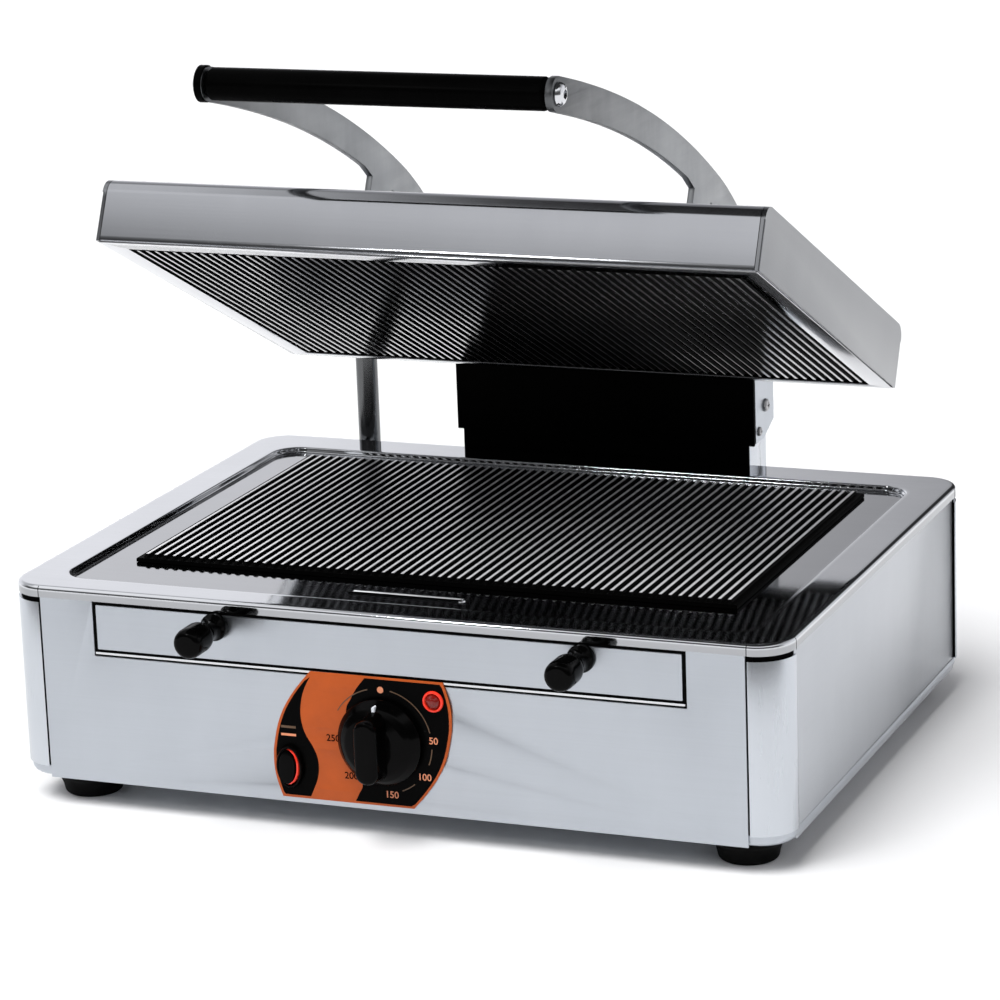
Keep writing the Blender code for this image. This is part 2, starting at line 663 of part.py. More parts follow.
def tower():
    x = TOWER_X
    inner = x - TOWER_SHEET
    front, rear = TOWER_Y
    web = front + TOWER_SHEET
    section = [(-x, front), (x, front), (x, rear), (inner, rear)]
    section += [(inner, web), (-inner, web), (-inner, rear), (-x, rear)]
    height = TOWER_Z[1] - TOWER_Z[0]
    channel = flat("tower_channel", [section], height, STEEL, "Z", TOWER_Z[0])
    hole = [circle((HINGE.y, HINGE.z), SHAFT_R + 0.0004, 16)]
    cutter = flat("tower_bore", hole, ACROSS_TOWER, STEEL, "X", -ACROSS_TOWER / 2, is_cutter=True)
    cut(channel, cutter)
    wide = CHEEK_X[1]
    step = CHEEK_Z[0] - 0.0010
    low, high = TOWER_Z
    face = [(-x, low), (x, low), (x, step), (wide, step), (wide, high)]
    face += [(-wide, high), (-wide, step), (-x, step)]
    depth = front - GAP - (HALF_D + GAP)
    flat("tower_front_cover", [face], depth, BLACK_PAINT, "Y", HALF_D + GAP)
    low = (-inner + GAP, rear - 0.0016, TOWER_Z[0] + 0.002)
    box("tower_rear_cover", low, (inner - GAP, rear - 0.0004, TOWER_Z[1] - 0.002), STEEL)


def hinge_bracket():
    """A saddle over the tower: two cheeks joined by a web across the top."""
    inner, outer = CHEEK_X
    low, high = CHEEK_Z
    web = high - (outer - inner)
    section = [(-outer, low), (-inner, low), (-inner, web), (inner, web)]
    section += [(inner, low), (outer, low), (outer, high), (-outer, high)]
    depth = CHEEK_Y[1] - CHEEK_Y[0]
    saddle = flat("hinge_bracket", [section], depth, STEEL, "Y", CHEEK_Y[0])
    wedge = [(0.1960, low - 0.001), (CHEEK_Y[1] + 0.001, low - 0.001)]
    wedge += [(CHEEK_Y[1] + 0.001, low + 0.0087)]
    cutter = flat("cheek_corner", [wedge], ACROSS_TOWER, STEEL, "X", -ACROSS_TOWER / 2, is_cutter=True)
    cut(saddle, cutter)
    bore = [circle((HINGE.y, HINGE.z), SHAFT_R + 0.0004, 16)]
    cutter = flat("cheek_bore", bore, ACROSS_TOWER, STEEL, "X", -ACROSS_TOWER / 2, is_cutter=True)
    cut(saddle, cutter)


def bracket_screws():
    """The screw that holds each cheek to the tower."""
    head = [(0.0, GAP), (0.0045, GAP), (0.0042, 0.0018), (0.0022, 0.0026), (0.0, 0.0026)]
    for side, sign in (("right", 1), ("left", -1)):
        at = (sign * CHEEK_X[1], *CHEEK_SCREW)
        turned("bracket_screw_" + side, head, at, (sign, 0, 0), ZINC, steps=12)


def hinge_shaft():
    reach = ARM_X[0] - GAP
    rod = [(0.0, -reach), (SHAFT_R, -reach), (SHAFT_R, reach), (0.0, reach)]
    turned("hinge_shaft", rod, HINGE, (1, 0, 0), ZINC, YOKE, 16)


def torsion_spring():
    """The counterbalance, wound round the shaft in the middle of the tower."""
    turns = 6
    per_turn = 10
    radius = 0.0086
    length = 0.060
    points = []
    for step in range(turns * per_turn + 1):
        angle = 2 * math.pi * step / per_turn
        x = -length / 2 + length * step / (turns * per_turn)
        points.append(
            (x, HINGE.y + radius * math.cos(angle), HINGE.z + radius * math.sin(angle))
        )
    tail = Vector(points[-1])
    points.append(tail + Vector((0.002, 0.0, -0.012)))
    points.append(tail + Vector((0.002, 0.0, -0.030)))
    tube("counterbalance_spring", points, 0.0016, ZINC, sides=6)


# Yoke


def arm_outline():
    """The arm's centreline runs from the grip over the lid to the hinge, with a lug
    down to the lid's pivot."""
    handle = Vector((HANDLE_AXIS.y, HANDLE_AXIS.z))
    hinge = Vector((HINGE.y, HINGE.z))
    front = interpolate_bezier(
        handle,
        handle + Vector((0.085, -0.0204)),
        ARM_KNEE + Vector((-0.085, 0.0527)),
        ARM_KNEE,
        13,
    )
    rear = interpolate_bezier(
        ARM_KNEE,
        ARM_KNEE + Vector((0.042, -0.026)),
        hinge + Vector((-0.008, 0.047)),
        hinge,
        9,
    )
    middle = [Vector((p[0], p[1])) for p in front[:-1] + rear]
    upper = []
    lower = []
    for index, point in enumerate(middle[:-1]):
        step = middle[index + 1] - middle[max(index - 1, 0)]
        normal = Vector((-step.y, step.x)).normalized()
        upper.append(point + normal * ARM_HALF)
        lower.append(point - normal * ARM_HALF)
    pivot = Vector((PIVOT.y, PIVOT.z))
    before = [p for p in lower if p.x < pivot.x - 0.004]
    after = [p for p in lower if p.x > pivot.x + 0.034]
    boss = arc(hinge, 0.0125, 30, -150, 8)
    lug = arc(pivot, 0.0100, -20, -190, 8)
    nose = arc(handle, ARM_HALF, -108, -252, 7)
    return (
        [tuple(p) for p in upper]
        + boss
        + [tuple(p) for p in reversed(after)]
        + lug
        + [(pivot.x + 0.006, LUG_Z)]
        + [tuple(p) for p in reversed(before[1:])]
        + nose
    )


def arms():
    thickness = ARM_X[1] - ARM_X[0]
    holes = [circle((HANDLE_AXIS.y, HANDLE_AXIS.z), 0.0034, 12)]
    holes.append(circle((PIVOT.y, PIVOT.z), 0.0042, 12))
    for side, x in both_sides(ARM_X):
        flat("arm_" + side, [arm_outline()] + holes, thickness, STEEL, "X", x, YOKE)


def handle():
    reach = ARM_X[0] - GAP
    chamfer = 0.0025
    wall = [(0.0052, -reach), (GRIP_R - chamfer, -reach), (GRIP_R, -reach + chamfer)]
    wall += [(GRIP_R, reach - chamfer), (GRIP_R - chamfer, reach), (0.0052, reach)]
    hollow_turned("handle_grip", wall, HANDLE_AXIS, (1, 0, 0), BAKELITE, YOKE, 24)
    rod = [(0.0, -reach), (0.0048, -reach), (0.0048, reach), (0.0, reach)]
    turned("handle_rod", rod, HANDLE_AXIS, (1, 0, 0), ZINC, YOKE, 12)
    inner = ARM_X[0] - ARM_X[1] + GAP
    screw = [(0.0, inner), (0.0030, inner), (0.0030, GAP), (0.0068, GAP)]
    screw += [(0.0066, 0.0018), (0.0040, 0.0032), (0.0, 0.0034)]
    for side, sign in (("right", 1), ("left", -1)):
        at = HANDLE_AXIS + Vector((sign * ARM_X[1], 0, 0))
        turned("handle_screw_" + side, screw, at, (sign, 0, 0), MIRROR, YOKE, 12)


def pivot_pins():
    inner = 0.0930 - ARM_X[1]
    pin = [(0.0, inner), (0.0038, inner), (0.0038, GAP), (0.0070, GAP)]
    pin += [(0.0066, 0.0024), (0.0, 0.0034)]
    for side, sign in (("right", 1), ("left", -1)):
        at = PIVOT + Vector((sign * ARM_X[1], 0, 0))
        turned("lid_pivot_pin_" + side, pin, at, (sign, 0, 0), ZINC, YOKE, 12)


# Lid: these pieces are drawn about the pivot, in the lid's own frame


def lid_brackets():
    base = -PIVOT_H + GAP
    for side, sign in (("right", 1), ("left", -1)):
        ear = [(-0.0155, base + 0.001), (0.0155, base + 0.001), (0.0100, 0.0)]
        ear += arc((0, 0), 0.0100, 20, 160, 6) + [(-0.0100, 0.0)]
        x = 0.0950 if sign > 0 else -0.0985
        name = "lid_bracket_" + side
        bracket = flat(name, [ear], 0.0035, STEEL, "X", x, LID)
        inner = 0.0700 * sign
        low = (min(inner, sign * 0.0960), -0.016, base)
        high = (max(inner, sign * 0.0960), 0.016, base + 0.0030)
        cut(bracket, box(name + "_foot", low, high, STEEL, LID, is_cutter=True), "UNION")
        hole = [circle((0, 0), 0.0042, 12)]
        bore = flat(name + "_bore", hole, 0.020, STEEL, "X", sign * 0.0965 - 0.010, LID, True)
        cut(bracket, bore)


def lid_cover():
    top = -PIVOT_H
    low = (-LID_W / 2, -PIVOT_S, top - LID_H)
    high = (LID_W / 2, LID_D - PIVOT_S, top)
    bm = bmesh.new()
    bmesh.ops.create_cube(bm, size=1.0)
    bmesh.ops.scale(bm, vec=Vector(high) - Vector(low), verts=bm.verts)
    bmesh.ops.translate(bm, vec=(Vector(high) + Vector(low)) / 2, verts=bm.verts)
    open_face = [face for face in bm.faces if face.normal.z < -0.5]
    bmesh.ops.delete(bm, geom=open_face, context="FACES_ONLY")
    bent = [e for e in bm.edges if len(e.link_faces) == 2 and is_bend(e)]
    bmesh.ops.bevel(bm, geom=bent, offset=0.0045, segments=3, profile=0.5, affect="EDGES")
    cover = from_bmesh("lid_cover", bm, STEEL, LID, smooth=40)
    solid = cover.modifiers.new("sheet", "SOLIDIFY")
    solid.thickness = SHEET
    solid.offset = -1.0
    solid.use_even_offset = True


def is_bend(edge):
    """True on the edges where the top sheet folds down at the front and the back."""
    across = edge.verts[0].co - edge.verts[1].co
    return abs(across.x) > 0.1


def lid_inside():
    underside = -PIVOT_H - LID_H
    inset = SHEET + GAP
    outer = rounded_rectangle(
        LID_W / 2 - inset, -PIVOT_S + inset, LID_D - PIVOT_S - inset, 0.0010, 1
    )
    low, high = (s - PIVOT_S for s in UPPER_PLATE_S)
    inner = rounded_rectangle(UPPER_PLATE_X + 0.0006, low - 0.0006, high + 0.0006, 0.001, 1)
    flat("lid_frame", [outer, inner], SHEET, MIRROR, "Z", underside, LID)
    tip = underside - 0.0005
    ribbed_plate(
        "upper_plate", UPPER_PLATE_X, low, high, tip + UPPER_PLATE_T, tip, IRON, LID
    )
    clear = ELEMENT_R + 0.0004
    height = tip + UPPER_PLATE_T + clear
    route = element_route(ELEMENT_HALF_X, low + 0.025, high - 0.025, height)
    tube("upper_heating_element", route, ELEMENT_R, INCOLOY, LID)
    floor = height + clear
    corner = (UPPER_PLATE_X + 0.004, high + 0.002, -PIVOT_H - SHEET - GAP)
    box("upper_insulation", (-corner[0], low - 0.004, floor), corner, FIBRE, LID)
    wall = LID_D - PIVOT_S
    gland = [(0.0040, -0.0040), (0.0058, -0.0040), (0.0058, GAP), (0.0085, GAP)]
    gland += [(0.0085, 0.0055), (0.0060, 0.0110), (0.0040, 0.0110)]
    at = (LEAD_X, wall, underside + 0.019)
    cut_through = flat(
        "lid_gland_hole",
        [circle((at[0], at[2]), 0.0062, 12)],
        0.012,
        STEEL,
        "Y",
        wall - 0.006,
        LID,
        True,
    )
    cut(bpy.data.objects["lid_cover"], cut_through)
    hollow_turned("lid_gland", gland, at, (0, 1, 0), BAKELITE, LID, 12)


def lead():
    start = Vector((*CONDUIT_AT, CONDUIT_Z[1] - 0.010))
    knots = [start, start + Vector((0, 0, 0.016)), start + Vector((0.0065, 0.0005, 0.037))]
    knots += [start + Vector((0.026, 0, 0.051)), CLIP_AT + Vector((-0.0050, 0, 0.0010))]
    tube("lead_sleeve_lower", smooth_route(knots, 4), LEAD_R, SLEEVE)
    out = LID_D - PIVOT_S
    up = -LID_H - PIVOT_H + 0.019
    gland = PIVOT + LID_BACK * out + LID_UP * up
    gland.x = LEAD_X
    first = gland + LID_BACK * 0.0114
    knots = [first, gland + LID_BACK * 0.018, gland + Vector((0.004, 0.028, 0.004))]
    knots += [CLIP_AT + Vector((-0.0060, 0.010, -0.012))]
    tube("lead_sleeve_upper", smooth_route(knots, 4), LEAD_R, SLEEVE)


bottom_pan()
front_panel()
side_and_rear_panels()
corner_posts()
deck()
feet()
lower_heating()
drawer()
controls()
electrics()
conduit()
tower()
hinge_bracket()
bracket_screws()
hinge_shaft()
torsion_spring()
arms()
handle()
pivot_pins()
lid_brackets()
lid_cover()
lid_inside()
lead()
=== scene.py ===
"""Looks of the panini press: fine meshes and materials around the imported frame.
Metres, +Z up, front at -Y. Lid pieces are drawn about the lid's pivot, in its own tilt."""

import json
import math

import bmesh
import bpy
from mathutils import Matrix, Vector
from mathutils.geometry import interpolate_bezier


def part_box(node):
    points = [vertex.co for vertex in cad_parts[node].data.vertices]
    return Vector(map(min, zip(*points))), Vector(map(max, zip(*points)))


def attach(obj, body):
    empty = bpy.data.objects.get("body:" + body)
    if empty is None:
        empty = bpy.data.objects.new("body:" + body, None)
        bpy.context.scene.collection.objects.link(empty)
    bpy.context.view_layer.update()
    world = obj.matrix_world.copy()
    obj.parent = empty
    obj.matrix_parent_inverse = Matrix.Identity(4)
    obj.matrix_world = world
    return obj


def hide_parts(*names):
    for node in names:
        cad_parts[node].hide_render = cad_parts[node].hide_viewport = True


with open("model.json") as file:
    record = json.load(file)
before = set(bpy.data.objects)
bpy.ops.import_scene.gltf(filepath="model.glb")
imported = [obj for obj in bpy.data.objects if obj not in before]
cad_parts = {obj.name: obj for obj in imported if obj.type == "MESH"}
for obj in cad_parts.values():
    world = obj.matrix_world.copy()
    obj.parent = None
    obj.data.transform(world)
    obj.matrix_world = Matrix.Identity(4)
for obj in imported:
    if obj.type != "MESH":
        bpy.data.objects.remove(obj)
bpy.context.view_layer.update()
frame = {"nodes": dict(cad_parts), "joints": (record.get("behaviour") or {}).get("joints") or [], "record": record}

SHEET = 0.0012
NUDGE = 0.00005

deck_low, deck_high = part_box("deck")
HALF_W = deck_high.x
FRONT = deck_low.y
BACK = deck_high.y
RIM = deck_high.z
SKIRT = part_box("front_panel")[1].z + 0.0003
post_low, post_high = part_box("corner_post_front_right")
CORNER_R = post_high.x - post_low.x
STRAIGHT_X = post_low.x
pan_low, pan_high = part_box("bottom_pan")
joints = {joint["name"]: joint for joint in frame["joints"]}
PIVOT = Vector(joints["lid_level"]["pos_m"])
HINGE = Vector(joints["yoke_hinge"]["pos_m"])
KNOB = Vector(joints["dial_turn"]["pos_m"])
LID_TILT = math.radians(26.15)
TO_LID = Matrix.Translation(PIVOT) @ Matrix.Rotation(-LID_TILT, 4, "X")
AS_BUILT = Matrix.Identity(4)
UP = (0, 0, 1)
FORWARD = (0, -1, 0)
REARWARD = (0, 1, 0)


# Materials


class Nodes:
    """A node tree, and short ways to add to it."""

    def __init__(self, tree):
        self.tree = tree

    def add(self, kind):
        return self.tree.nodes.new("ShaderNode" + kind)

    def put(self, socket, value):
        """Links another node's output, or sets a number or a colour."""
        if isinstance(value, bpy.types.NodeSocket):
            self.tree.links.new(value, socket)
        else:
            socket.default_value = value if isinstance(value, float) else (*value, 1.0)

    def ramp(self, value, *stops):
        """Stops are (position, grey or colour)."""
        made = self.add("ValToRGB")
        points = made.color_ramp.elements
        while len(points) < len(stops):
            points.new(0.5)
        for point, (at, colour) in zip(points, stops):
            point.position = at
            rgb = colour if isinstance(colour, tuple) else (colour,) * 3
            point.color = (*rgb, 1.0)
        self.put(made.inputs["Fac"], value)
        return made.outputs["Color"]

    def mix(self, factor, one, other, blend="MIX"):
        made = self.add("Mix")
        made.data_type = "RGBA"
        made.blend_type = blend
        for index, value in ((0, factor), (6, one), (7, other)):
            self.put(made.inputs[index], value)
        return made.outputs[2]

    def share(self, vector, axis, low, high):
        """0 at low and 1 at high along one axis of a vector."""
        split = self.add("SeparateXYZ")
        self.put(split.inputs["Vector"], vector)
        made = self.add("MapRange")
        made.inputs["From Min"].default_value = low
        made.inputs["From Max"].default_value = high
        self.put(made.inputs["Value"], split.outputs[axis])
        return made.outputs["Result"]


class Look(Nodes):
    """A procedural material."""

    def __init__(self, name, metallic, roughness, **fixed):
        self.material = bpy.data.materials.new(name)
        self.material.use_nodes = True
        super().__init__(self.material.node_tree)
        self.shader = self.tree.nodes["Principled BSDF"]
        fixed.update(Metallic=metallic, Roughness=roughness)
        for socket, value in fixed.items():
            self.shader.inputs[socket.replace("_", " ")].default_value = value
        self.place = self.add("TexCoord").outputs["Object"]

    def noise(self, stretch, detail=3.0, rough=0.55, seed=0.0):
        """Noise whose cells are 1/stretch metres along each axis."""
        scaled = self.add("Mapping")
        scaled.inputs["Scale"].default_value = stretch
        scaled.inputs["Location"].default_value = (seed, seed, seed)
        self.put(scaled.inputs["Vector"], self.place)
        made = self.add("TexNoise")
        made.inputs["Scale"].default_value = 1.0
        made.inputs["Detail"].default_value = detail
        made.inputs["Roughness"].default_value = rough
        self.put(made.inputs["Vector"], scaled.outputs["Vector"])
        return made.outputs["Fac"]

    def feed(self, socket, value):
        self.put(self.shader.inputs[socket], value)
        return self

    def bump(self, value, depth, strength=1.0):
        made = self.add("Bump")
        made.inputs["Strength"].default_value = strength
        made.inputs["Distance"].default_value = depth
        self.put(made.inputs["Height"], value)
        return self.feed("Normal", made.outputs["Normal"])


def steel(name, grain, dark, light, smooth, rough, depth=0.00002, strength=0.12, shade=None, along="Z"):
    """Stainless sheet: fine grain along one direction, with faint wiped patches. A shade is painted
    shade, darker steel up to one level along an axis: two levels and how much the steel keeps of its brightness up
    to the first."""
    look = Look(name, 1.0, rough)
    fine = look.noise(grain, 2.0, 0.6)
    patches = look.noise((17.0, 17.0, 7.0), 4.0, 0.6, seed=3.1)
    wiped = look.noise((60.0, 60.0, 24.0), 3.0, 0.65, seed=8.7)
    base = look.ramp(patches, (0.3, dark), (0.7, light))
    streaks = look.ramp(fine, (0.3, 0.72), (0.7, 1.0))
    if shade:
        low, high, kept = shade
        fade = look.ramp(look.share(look.place, along, low, high), (0.0, kept), (1.0, 1.0))
        base = look.mix(1.0, base, fade, "MULTIPLY")
    look.feed("Base Color", look.mix(0.1, base, streaks, "MULTIPLY"))
    grain_gloss = look.ramp(fine, (0.25, smooth), (0.75, rough))
    wiped_gloss = look.ramp(wiped, (0.3, smooth), (0.75, rough))
    look.feed("Roughness", look.mix(0.45, grain_gloss, wiped_gloss))
    return look.bump(fine, depth, strength).material


def cast_iron(name, valley, tip, painted_tip_grey=0.44, sheen=1.0, gloss=0.13):
    """Seasoned iron, black in the grooves and ground along the ribs."""
    look = Look(name, 0.85, 0.4)
    grain = look.noise((1500.0, 1500.0, 1500.0), 3.0, 0.7)
    wear = look.noise((30.0, 12.0, 30.0), 4.0, 0.6)
    ground = look.ramp(look.share(look.place, "Z", valley, tip), (0.9, 0.0), (0.97, 1.0))
    patchy = look.mix(0.12, ground, look.ramp(wear, (0.3, 0.6), (0.62, 1.0)), "MULTIPLY")
    # The tip grey is set per plate: painted light on the lower plate, painted shade on the upper plate.
    tip_grey = (painted_tip_grey, painted_tip_grey, painted_tip_grey * 1.02)
    look.feed("Base Color", look.mix(patchy, (0.001, 0.001, 0.001), tip_grey))
    dull = look.ramp(grain, (0.3, 0.5), (0.7, 0.65))
    look.feed("Roughness", look.mix(patchy, dull, (gloss, gloss, gloss)))
    look.feed("Metallic", look.ramp(patchy, (0.0, 0.0), (1.0, sheen)))
    look.feed("Specular IOR Level", look.ramp(patchy, (0.0, 0.03), (1.0, 0.5)))
    return look.bump(grain, 0.00004, 0.25).material


def coating(name, colour, roughness, grain, depth, **fixed):
    """Paint, plastic, rubber or print: one colour with its own grain and handling marks."""
    look = Look(name, 0.0, roughness, **fixed)
    fine = look.noise((grain, grain, grain), 2.0, 0.6)
    marks = look.noise((45.0, 45.0, 45.0), 4.0, 0.65, seed=5.3)
    worn = tuple(min(1.0, c * 1.25 + 0.0004) for c in colour)
    look.feed("Base Color", look.ramp(marks, (0.35, colour), (0.8, worn)))
    look.feed("Roughness", look.ramp(marks, (0.3, roughness), (0.75, min(1.0, roughness * 1.45))))
    return look.bump(fine, depth, 0.5).material


ACROSS = (9.0, 950.0, 950.0)
FORE_AND_AFT = (950.0, 9.0, 950.0)
UPRIGHT = (950.0, 950.0, 9.0)
PANEL = steel("satin_steel_panel", ACROSS, (0.49, 0.52, 0.56), (0.515, 0.545, 0.585), 0.32, 0.38)
SIDE = steel("satin_steel_side", FORE_AND_AFT, (0.485, 0.505, 0.535), (0.515, 0.535, 0.565), 0.28, 0.34)
POST = steel("satin_steel_post", UPRIGHT, (0.585, 0.615, 0.655), (0.61, 0.64, 0.68), 0.22, 0.3)
# The arms' steel is darker than the housing's, and darker still towards the grip end: painted shade.
ARM = steel(
    "satin_steel_arm", (300.0, 40.0, 300.0), (0.24, 0.25, 0.26), (0.35, 0.36, 0.37),
    0.3, 0.48, 0.00006, 0.35, shade=(-0.15, 0.03, 0.42), along="Y",
)
# Below the deck's flat top (bent lip face, recess walls and floor) the steel keeps 0.62 of its brightness: painted
# shade.
DECK = steel(
    "polished_steel_deck", (7.0, 500.0, 500.0), (0.64, 0.655, 0.68), (0.68, 0.695, 0.72),
    0.05, 0.08, 0.000005, shade=(RIM - 0.0032, RIM - 0.0024, 0.62),
)
LID_LOOK = steel(
    "satin_steel_lid", ACROSS, (0.385, 0.395, 0.415), (0.405, 0.415, 0.435),
    0.1, 0.14, 0.000008, 0.08,
)
# The lid's sides take the lid's steel at little more than half its brightness: a shaded copy, painted shade.
LID_SIDE_SHADED_LOOK = steel(
    "satin_steel_lid_side", FORE_AND_AFT, (0.215, 0.222, 0.232), (0.245, 0.252, 0.262), 0.14, 0.2
)
# The conduit's steel is set far darker than the housing's, near black: painted shade.
CONDUIT_SHADED_LOOK = steel(
    "satin_steel_conduit", (300.0, 300.0, 12.0), (0.1, 0.103, 0.106), (0.15, 0.153, 0.156), 0.16, 0.26
)
BRIGHT = steel("polished_steel_trim", ACROSS, (0.66, 0.67, 0.69), (0.72, 0.73, 0.75), 0.08, 0.16, 0.00001)
ZINC = steel(
    "zinc_steel_plain", (400.0, 400.0, 400.0), (0.38, 0.38, 0.38), (0.52, 0.52, 0.53),
    0.32, 0.5, 0.00005, 0.35,
)
FINE = 0.00002
BLACK_PAINT = coating("black_paint", (0.0004, 0.0004, 0.0004), 0.42, 900.0, 0.00005, Specular_IOR_Level=0.02)
BAKELITE = coating("bakelite", (0.0006, 0.0006, 0.0006), 0.12, 500.0, FINE, Specular_IOR_Level=0.06)
GRIP = coating("bakelite_grip", (0.0005, 0.0005, 0.0005), 0.24, 700.0, 0.00004, Specular_IOR_Level=0.012)
RUBBER = coating("rubber", (0.0015, 0.0015, 0.0015), 0.6, 1200.0, 0.0001, Specular_IOR_Level=0.1)
ORANGE = coating("fascia_orange", (0.405, 0.074, 0.011), 0.38, 1400.0, FINE, Specular_IOR_Level=0.25)
BLACK_PRINT = coating("fascia_black", (0.0006, 0.0006, 0.0006), 0.3, 1400.0, FINE, Specular_IOR_Level=0.03)
PALE_PRINT = coating("fascia_pale", (0.66, 0.24, 0.12), 0.38, 1400.0, FINE)
BROWN_PRINT = coating("fascia_brown", (0.085, 0.045, 0.02), 0.38, 1400.0, FINE)
WHITE_PRINT = coating("pointer_white", (0.75, 0.78, 0.85), 0.35, 1400.0, FINE)
RED = coating(
    "red_lens", (0.75, 0.03, 0.015), 0.12, 400.0, 0.00004,
    Emission_Color=(0.9, 0.05, 0.02, 1.0), Emission_Strength=0.22,
)
DARK_RED = coating("red_lens_deep", (0.16, 0.006, 0.004), 0.1, 400.0, 0.00004)
FIBRE = coating("insulation_fibre", (0.62, 0.58, 0.5), 0.9, 2600.0, 0.0006)
SHEATH = coating("element_sheath", (0.1, 0.085, 0.07), 0.5, 1600.0, 0.0002)
CERAMIC = coating("white_ceramic", (0.72, 0.71, 0.68), 0.2, 600.0, 0.00005)
BRAID = coating("braided_sleeve", (0.2, 0.2, 0.205), 0.45, 1800.0, 0.0002)
SHADOW_GAP = coating("shadow_gap", (0.001, 0.001, 0.001), 0.7, 900.0, FINE, Specular_IOR_Level=0.05)

# Shaping


def evaluated(obj):
    """The object's mesh, with its modifiers applied."""
    bpy.context.view_layer.update()
    graph = bpy.context.evaluated_depsgraph_get()
    return bpy.data.meshes.new_from_object(obj.evaluated_get(graph))


def flattened(draft):
    """The mesh of a curve or text, which is removed."""
    bpy.context.scene.collection.objects.link(draft)
    mesh = evaluated(draft)
    bpy.data.objects.remove(draft)
    return mesh


def settle(obj, smooth):
    """Applies the modifiers, and shades smooth up to an angle in degrees."""
    mesh = evaluated(obj)
    obj.modifiers.clear()
    obj.data = mesh
    mesh.shade_smooth()
    mesh.set_sharp_from_angle(angle=math.radians(smooth))


def linked(name, bm, look, at=AS_BUILT):
    mesh = bpy.data.meshes.new(name)
    bmesh.ops.recalc_face_normals(bm, faces=bm.faces)
    bm.to_mesh(mesh)
    bm.free()
    obj = bpy.data.objects.new(name, mesh)
    obj.matrix_world = at
    obj.data.materials.append(look)
    bpy.context.scene.collection.objects.link(obj)
    return obj


def show(obj, slot, *nodes, body="housing", smooth=32, bevel=0.0, thickness=0.0):
    """Finishes a piece: its sheet thickness, soft edges, shading and body, and hides the nodes it replaces. The
    slot is not used.
    """
    if thickness:
        sheet = obj.modifiers.new("sheet", "SOLIDIFY")
        sheet.thickness = thickness
        sheet.offset = -1.0
        sheet.use_even_offset = True
    if bevel:
        soften(obj, bevel)
    settle(obj, smooth)
    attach(obj, body)
    if nodes:
        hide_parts(*nodes)
    return obj


def soften(obj, width, segments=2):
    edge = obj.modifiers.new("soft_edges", "BEVEL")
    edge.width = width
    edge.segments = segments
    edge.limit_method = "ANGLE"
    edge.angle_limit = math.radians(35)


def arc(middle, radius, start, end, steps):
    """Points on a circle between two angles in degrees."""
    return [
        (
            middle[0] + radius * math.cos(math.radians(start + (end - start) * i / steps)),
            middle[1] + radius * math.sin(math.radians(start + (end - start) * i / steps)),
        )
        for i in range(steps + 1)
    ]


def circle(middle, radius, steps=48):
    return arc(middle, radius, 0, 360 - 360 / steps, steps - 1)


def oval(middle, half_x, half_y, steps=48):
    return [(middle[0] + half_x * x, middle[1] + half_y * y) for x, y in circle((0, 0), 1.0, steps)]


def stadium(middle, half_length, radius, upright=True, steps=12):
    """A slot's outline: two half circles, joined."""
    if upright:
        top = arc((middle[0], middle[1] + half_length), radius, 0, 180, steps)
        return top + arc((middle[0], middle[1] - half_length), radius, 180, 360, steps)
    right = arc((middle[0] + half_length, middle[1]), radius, -90, 90, steps)
    return right + arc((middle[0] - half_length, middle[1]), radius, 90, 270, steps)


def rectangle(half_x, low_y, high_y):
    return [(-half_x, low_y), (half_x, low_y), (half_x, high_y), (-half_x, high_y)]


def rounded_rectangle(half_x, low_y, high_y, radius, steps=14):
    x = half_x - radius
    low = low_y + radius
    high = high_y - radius
    return (
        arc((x, high), radius, 0, 90, steps)
        + arc((-x, high), radius, 90, 180, steps)
        + arc((-x, low), radius, 180, 270, steps)
        + arc((x, low), radius, 270, 360, steps)
    )


def fillet(points, radius, closed=False, steps=4):
    """The same path with each corner rounded."""
    path = [Vector(p) for p in points]
    count = len(path)
    made = []
    for i, corner in enumerate(path):
        if not closed and i in (0, count - 1):
            made.append(tuple(corner))
            continue
        before = path[i - 1] - corner
        after = path[(i + 1) % count] - corner
        reach = min(radius, before.length * 0.49, after.length * 0.49)
        start = corner + before.normalized() * reach
        end = corner + after.normalized() * reach
        for step in range(steps + 1):
            t = step / steps
            made.append(tuple(start * (1 - t) ** 2 + corner * 2 * t * (1 - t) + end * t * t))
    return made


def smooth_line(knots, steps=8, closed=False):
    """Points on a curve through the knots."""
    path = [Vector(k) for k in knots]
    if closed:
        run = [path[-1]] + path + path[:2]
    else:
        run = [path[0] * 2 - path[1]] + path + [path[-1] * 2 - path[-2]]
    made = []
    for before, start, end, after in zip(run, run[1:], run[2:], run[3:]):
        one = start + (end - before) / 6
        two = end - (after - start) / 6
        for step in range(steps):
            t = step / steps
            u = 1 - t
            made.append(start * u**3 + one * 3 * t * u * u + two * 3 * t * t * u + end * t**3)
    return made if closed else made + [path[-1]]


def skin(bm, lower, upper, closed=True):
    """Faces between two rows of points."""
    for i in range(len(lower) if closed else len(lower) - 1):
        j = (i + 1) % len(lower)
        if len(upper) == 1:
            bm.faces.new((lower[i], lower[j], upper[0]))
        elif len(lower) == 1:
            bm.faces.new((lower[0], upper[j], upper[i]))
        else:
            bm.faces.new((lower[i], lower[j], upper[j], upper[i]))


def loft(name, rings, look, at=AS_BUILT, caps=False, closed=True, loop=False):
    """A surface through rings that have the same number of points."""
    bm = bmesh.new()
    rows = [[bm.verts.new(p) for p in ring] for ring in rings]
    for lower, upper in zip(rows, rows[1:] + (rows[:1] if loop else [])):
        skin(bm, lower, upper, closed)
    if caps:
        bm.faces.new(rows[0])
        bm.faces.new(rows[-1])
    return linked(name, bm, look, at)


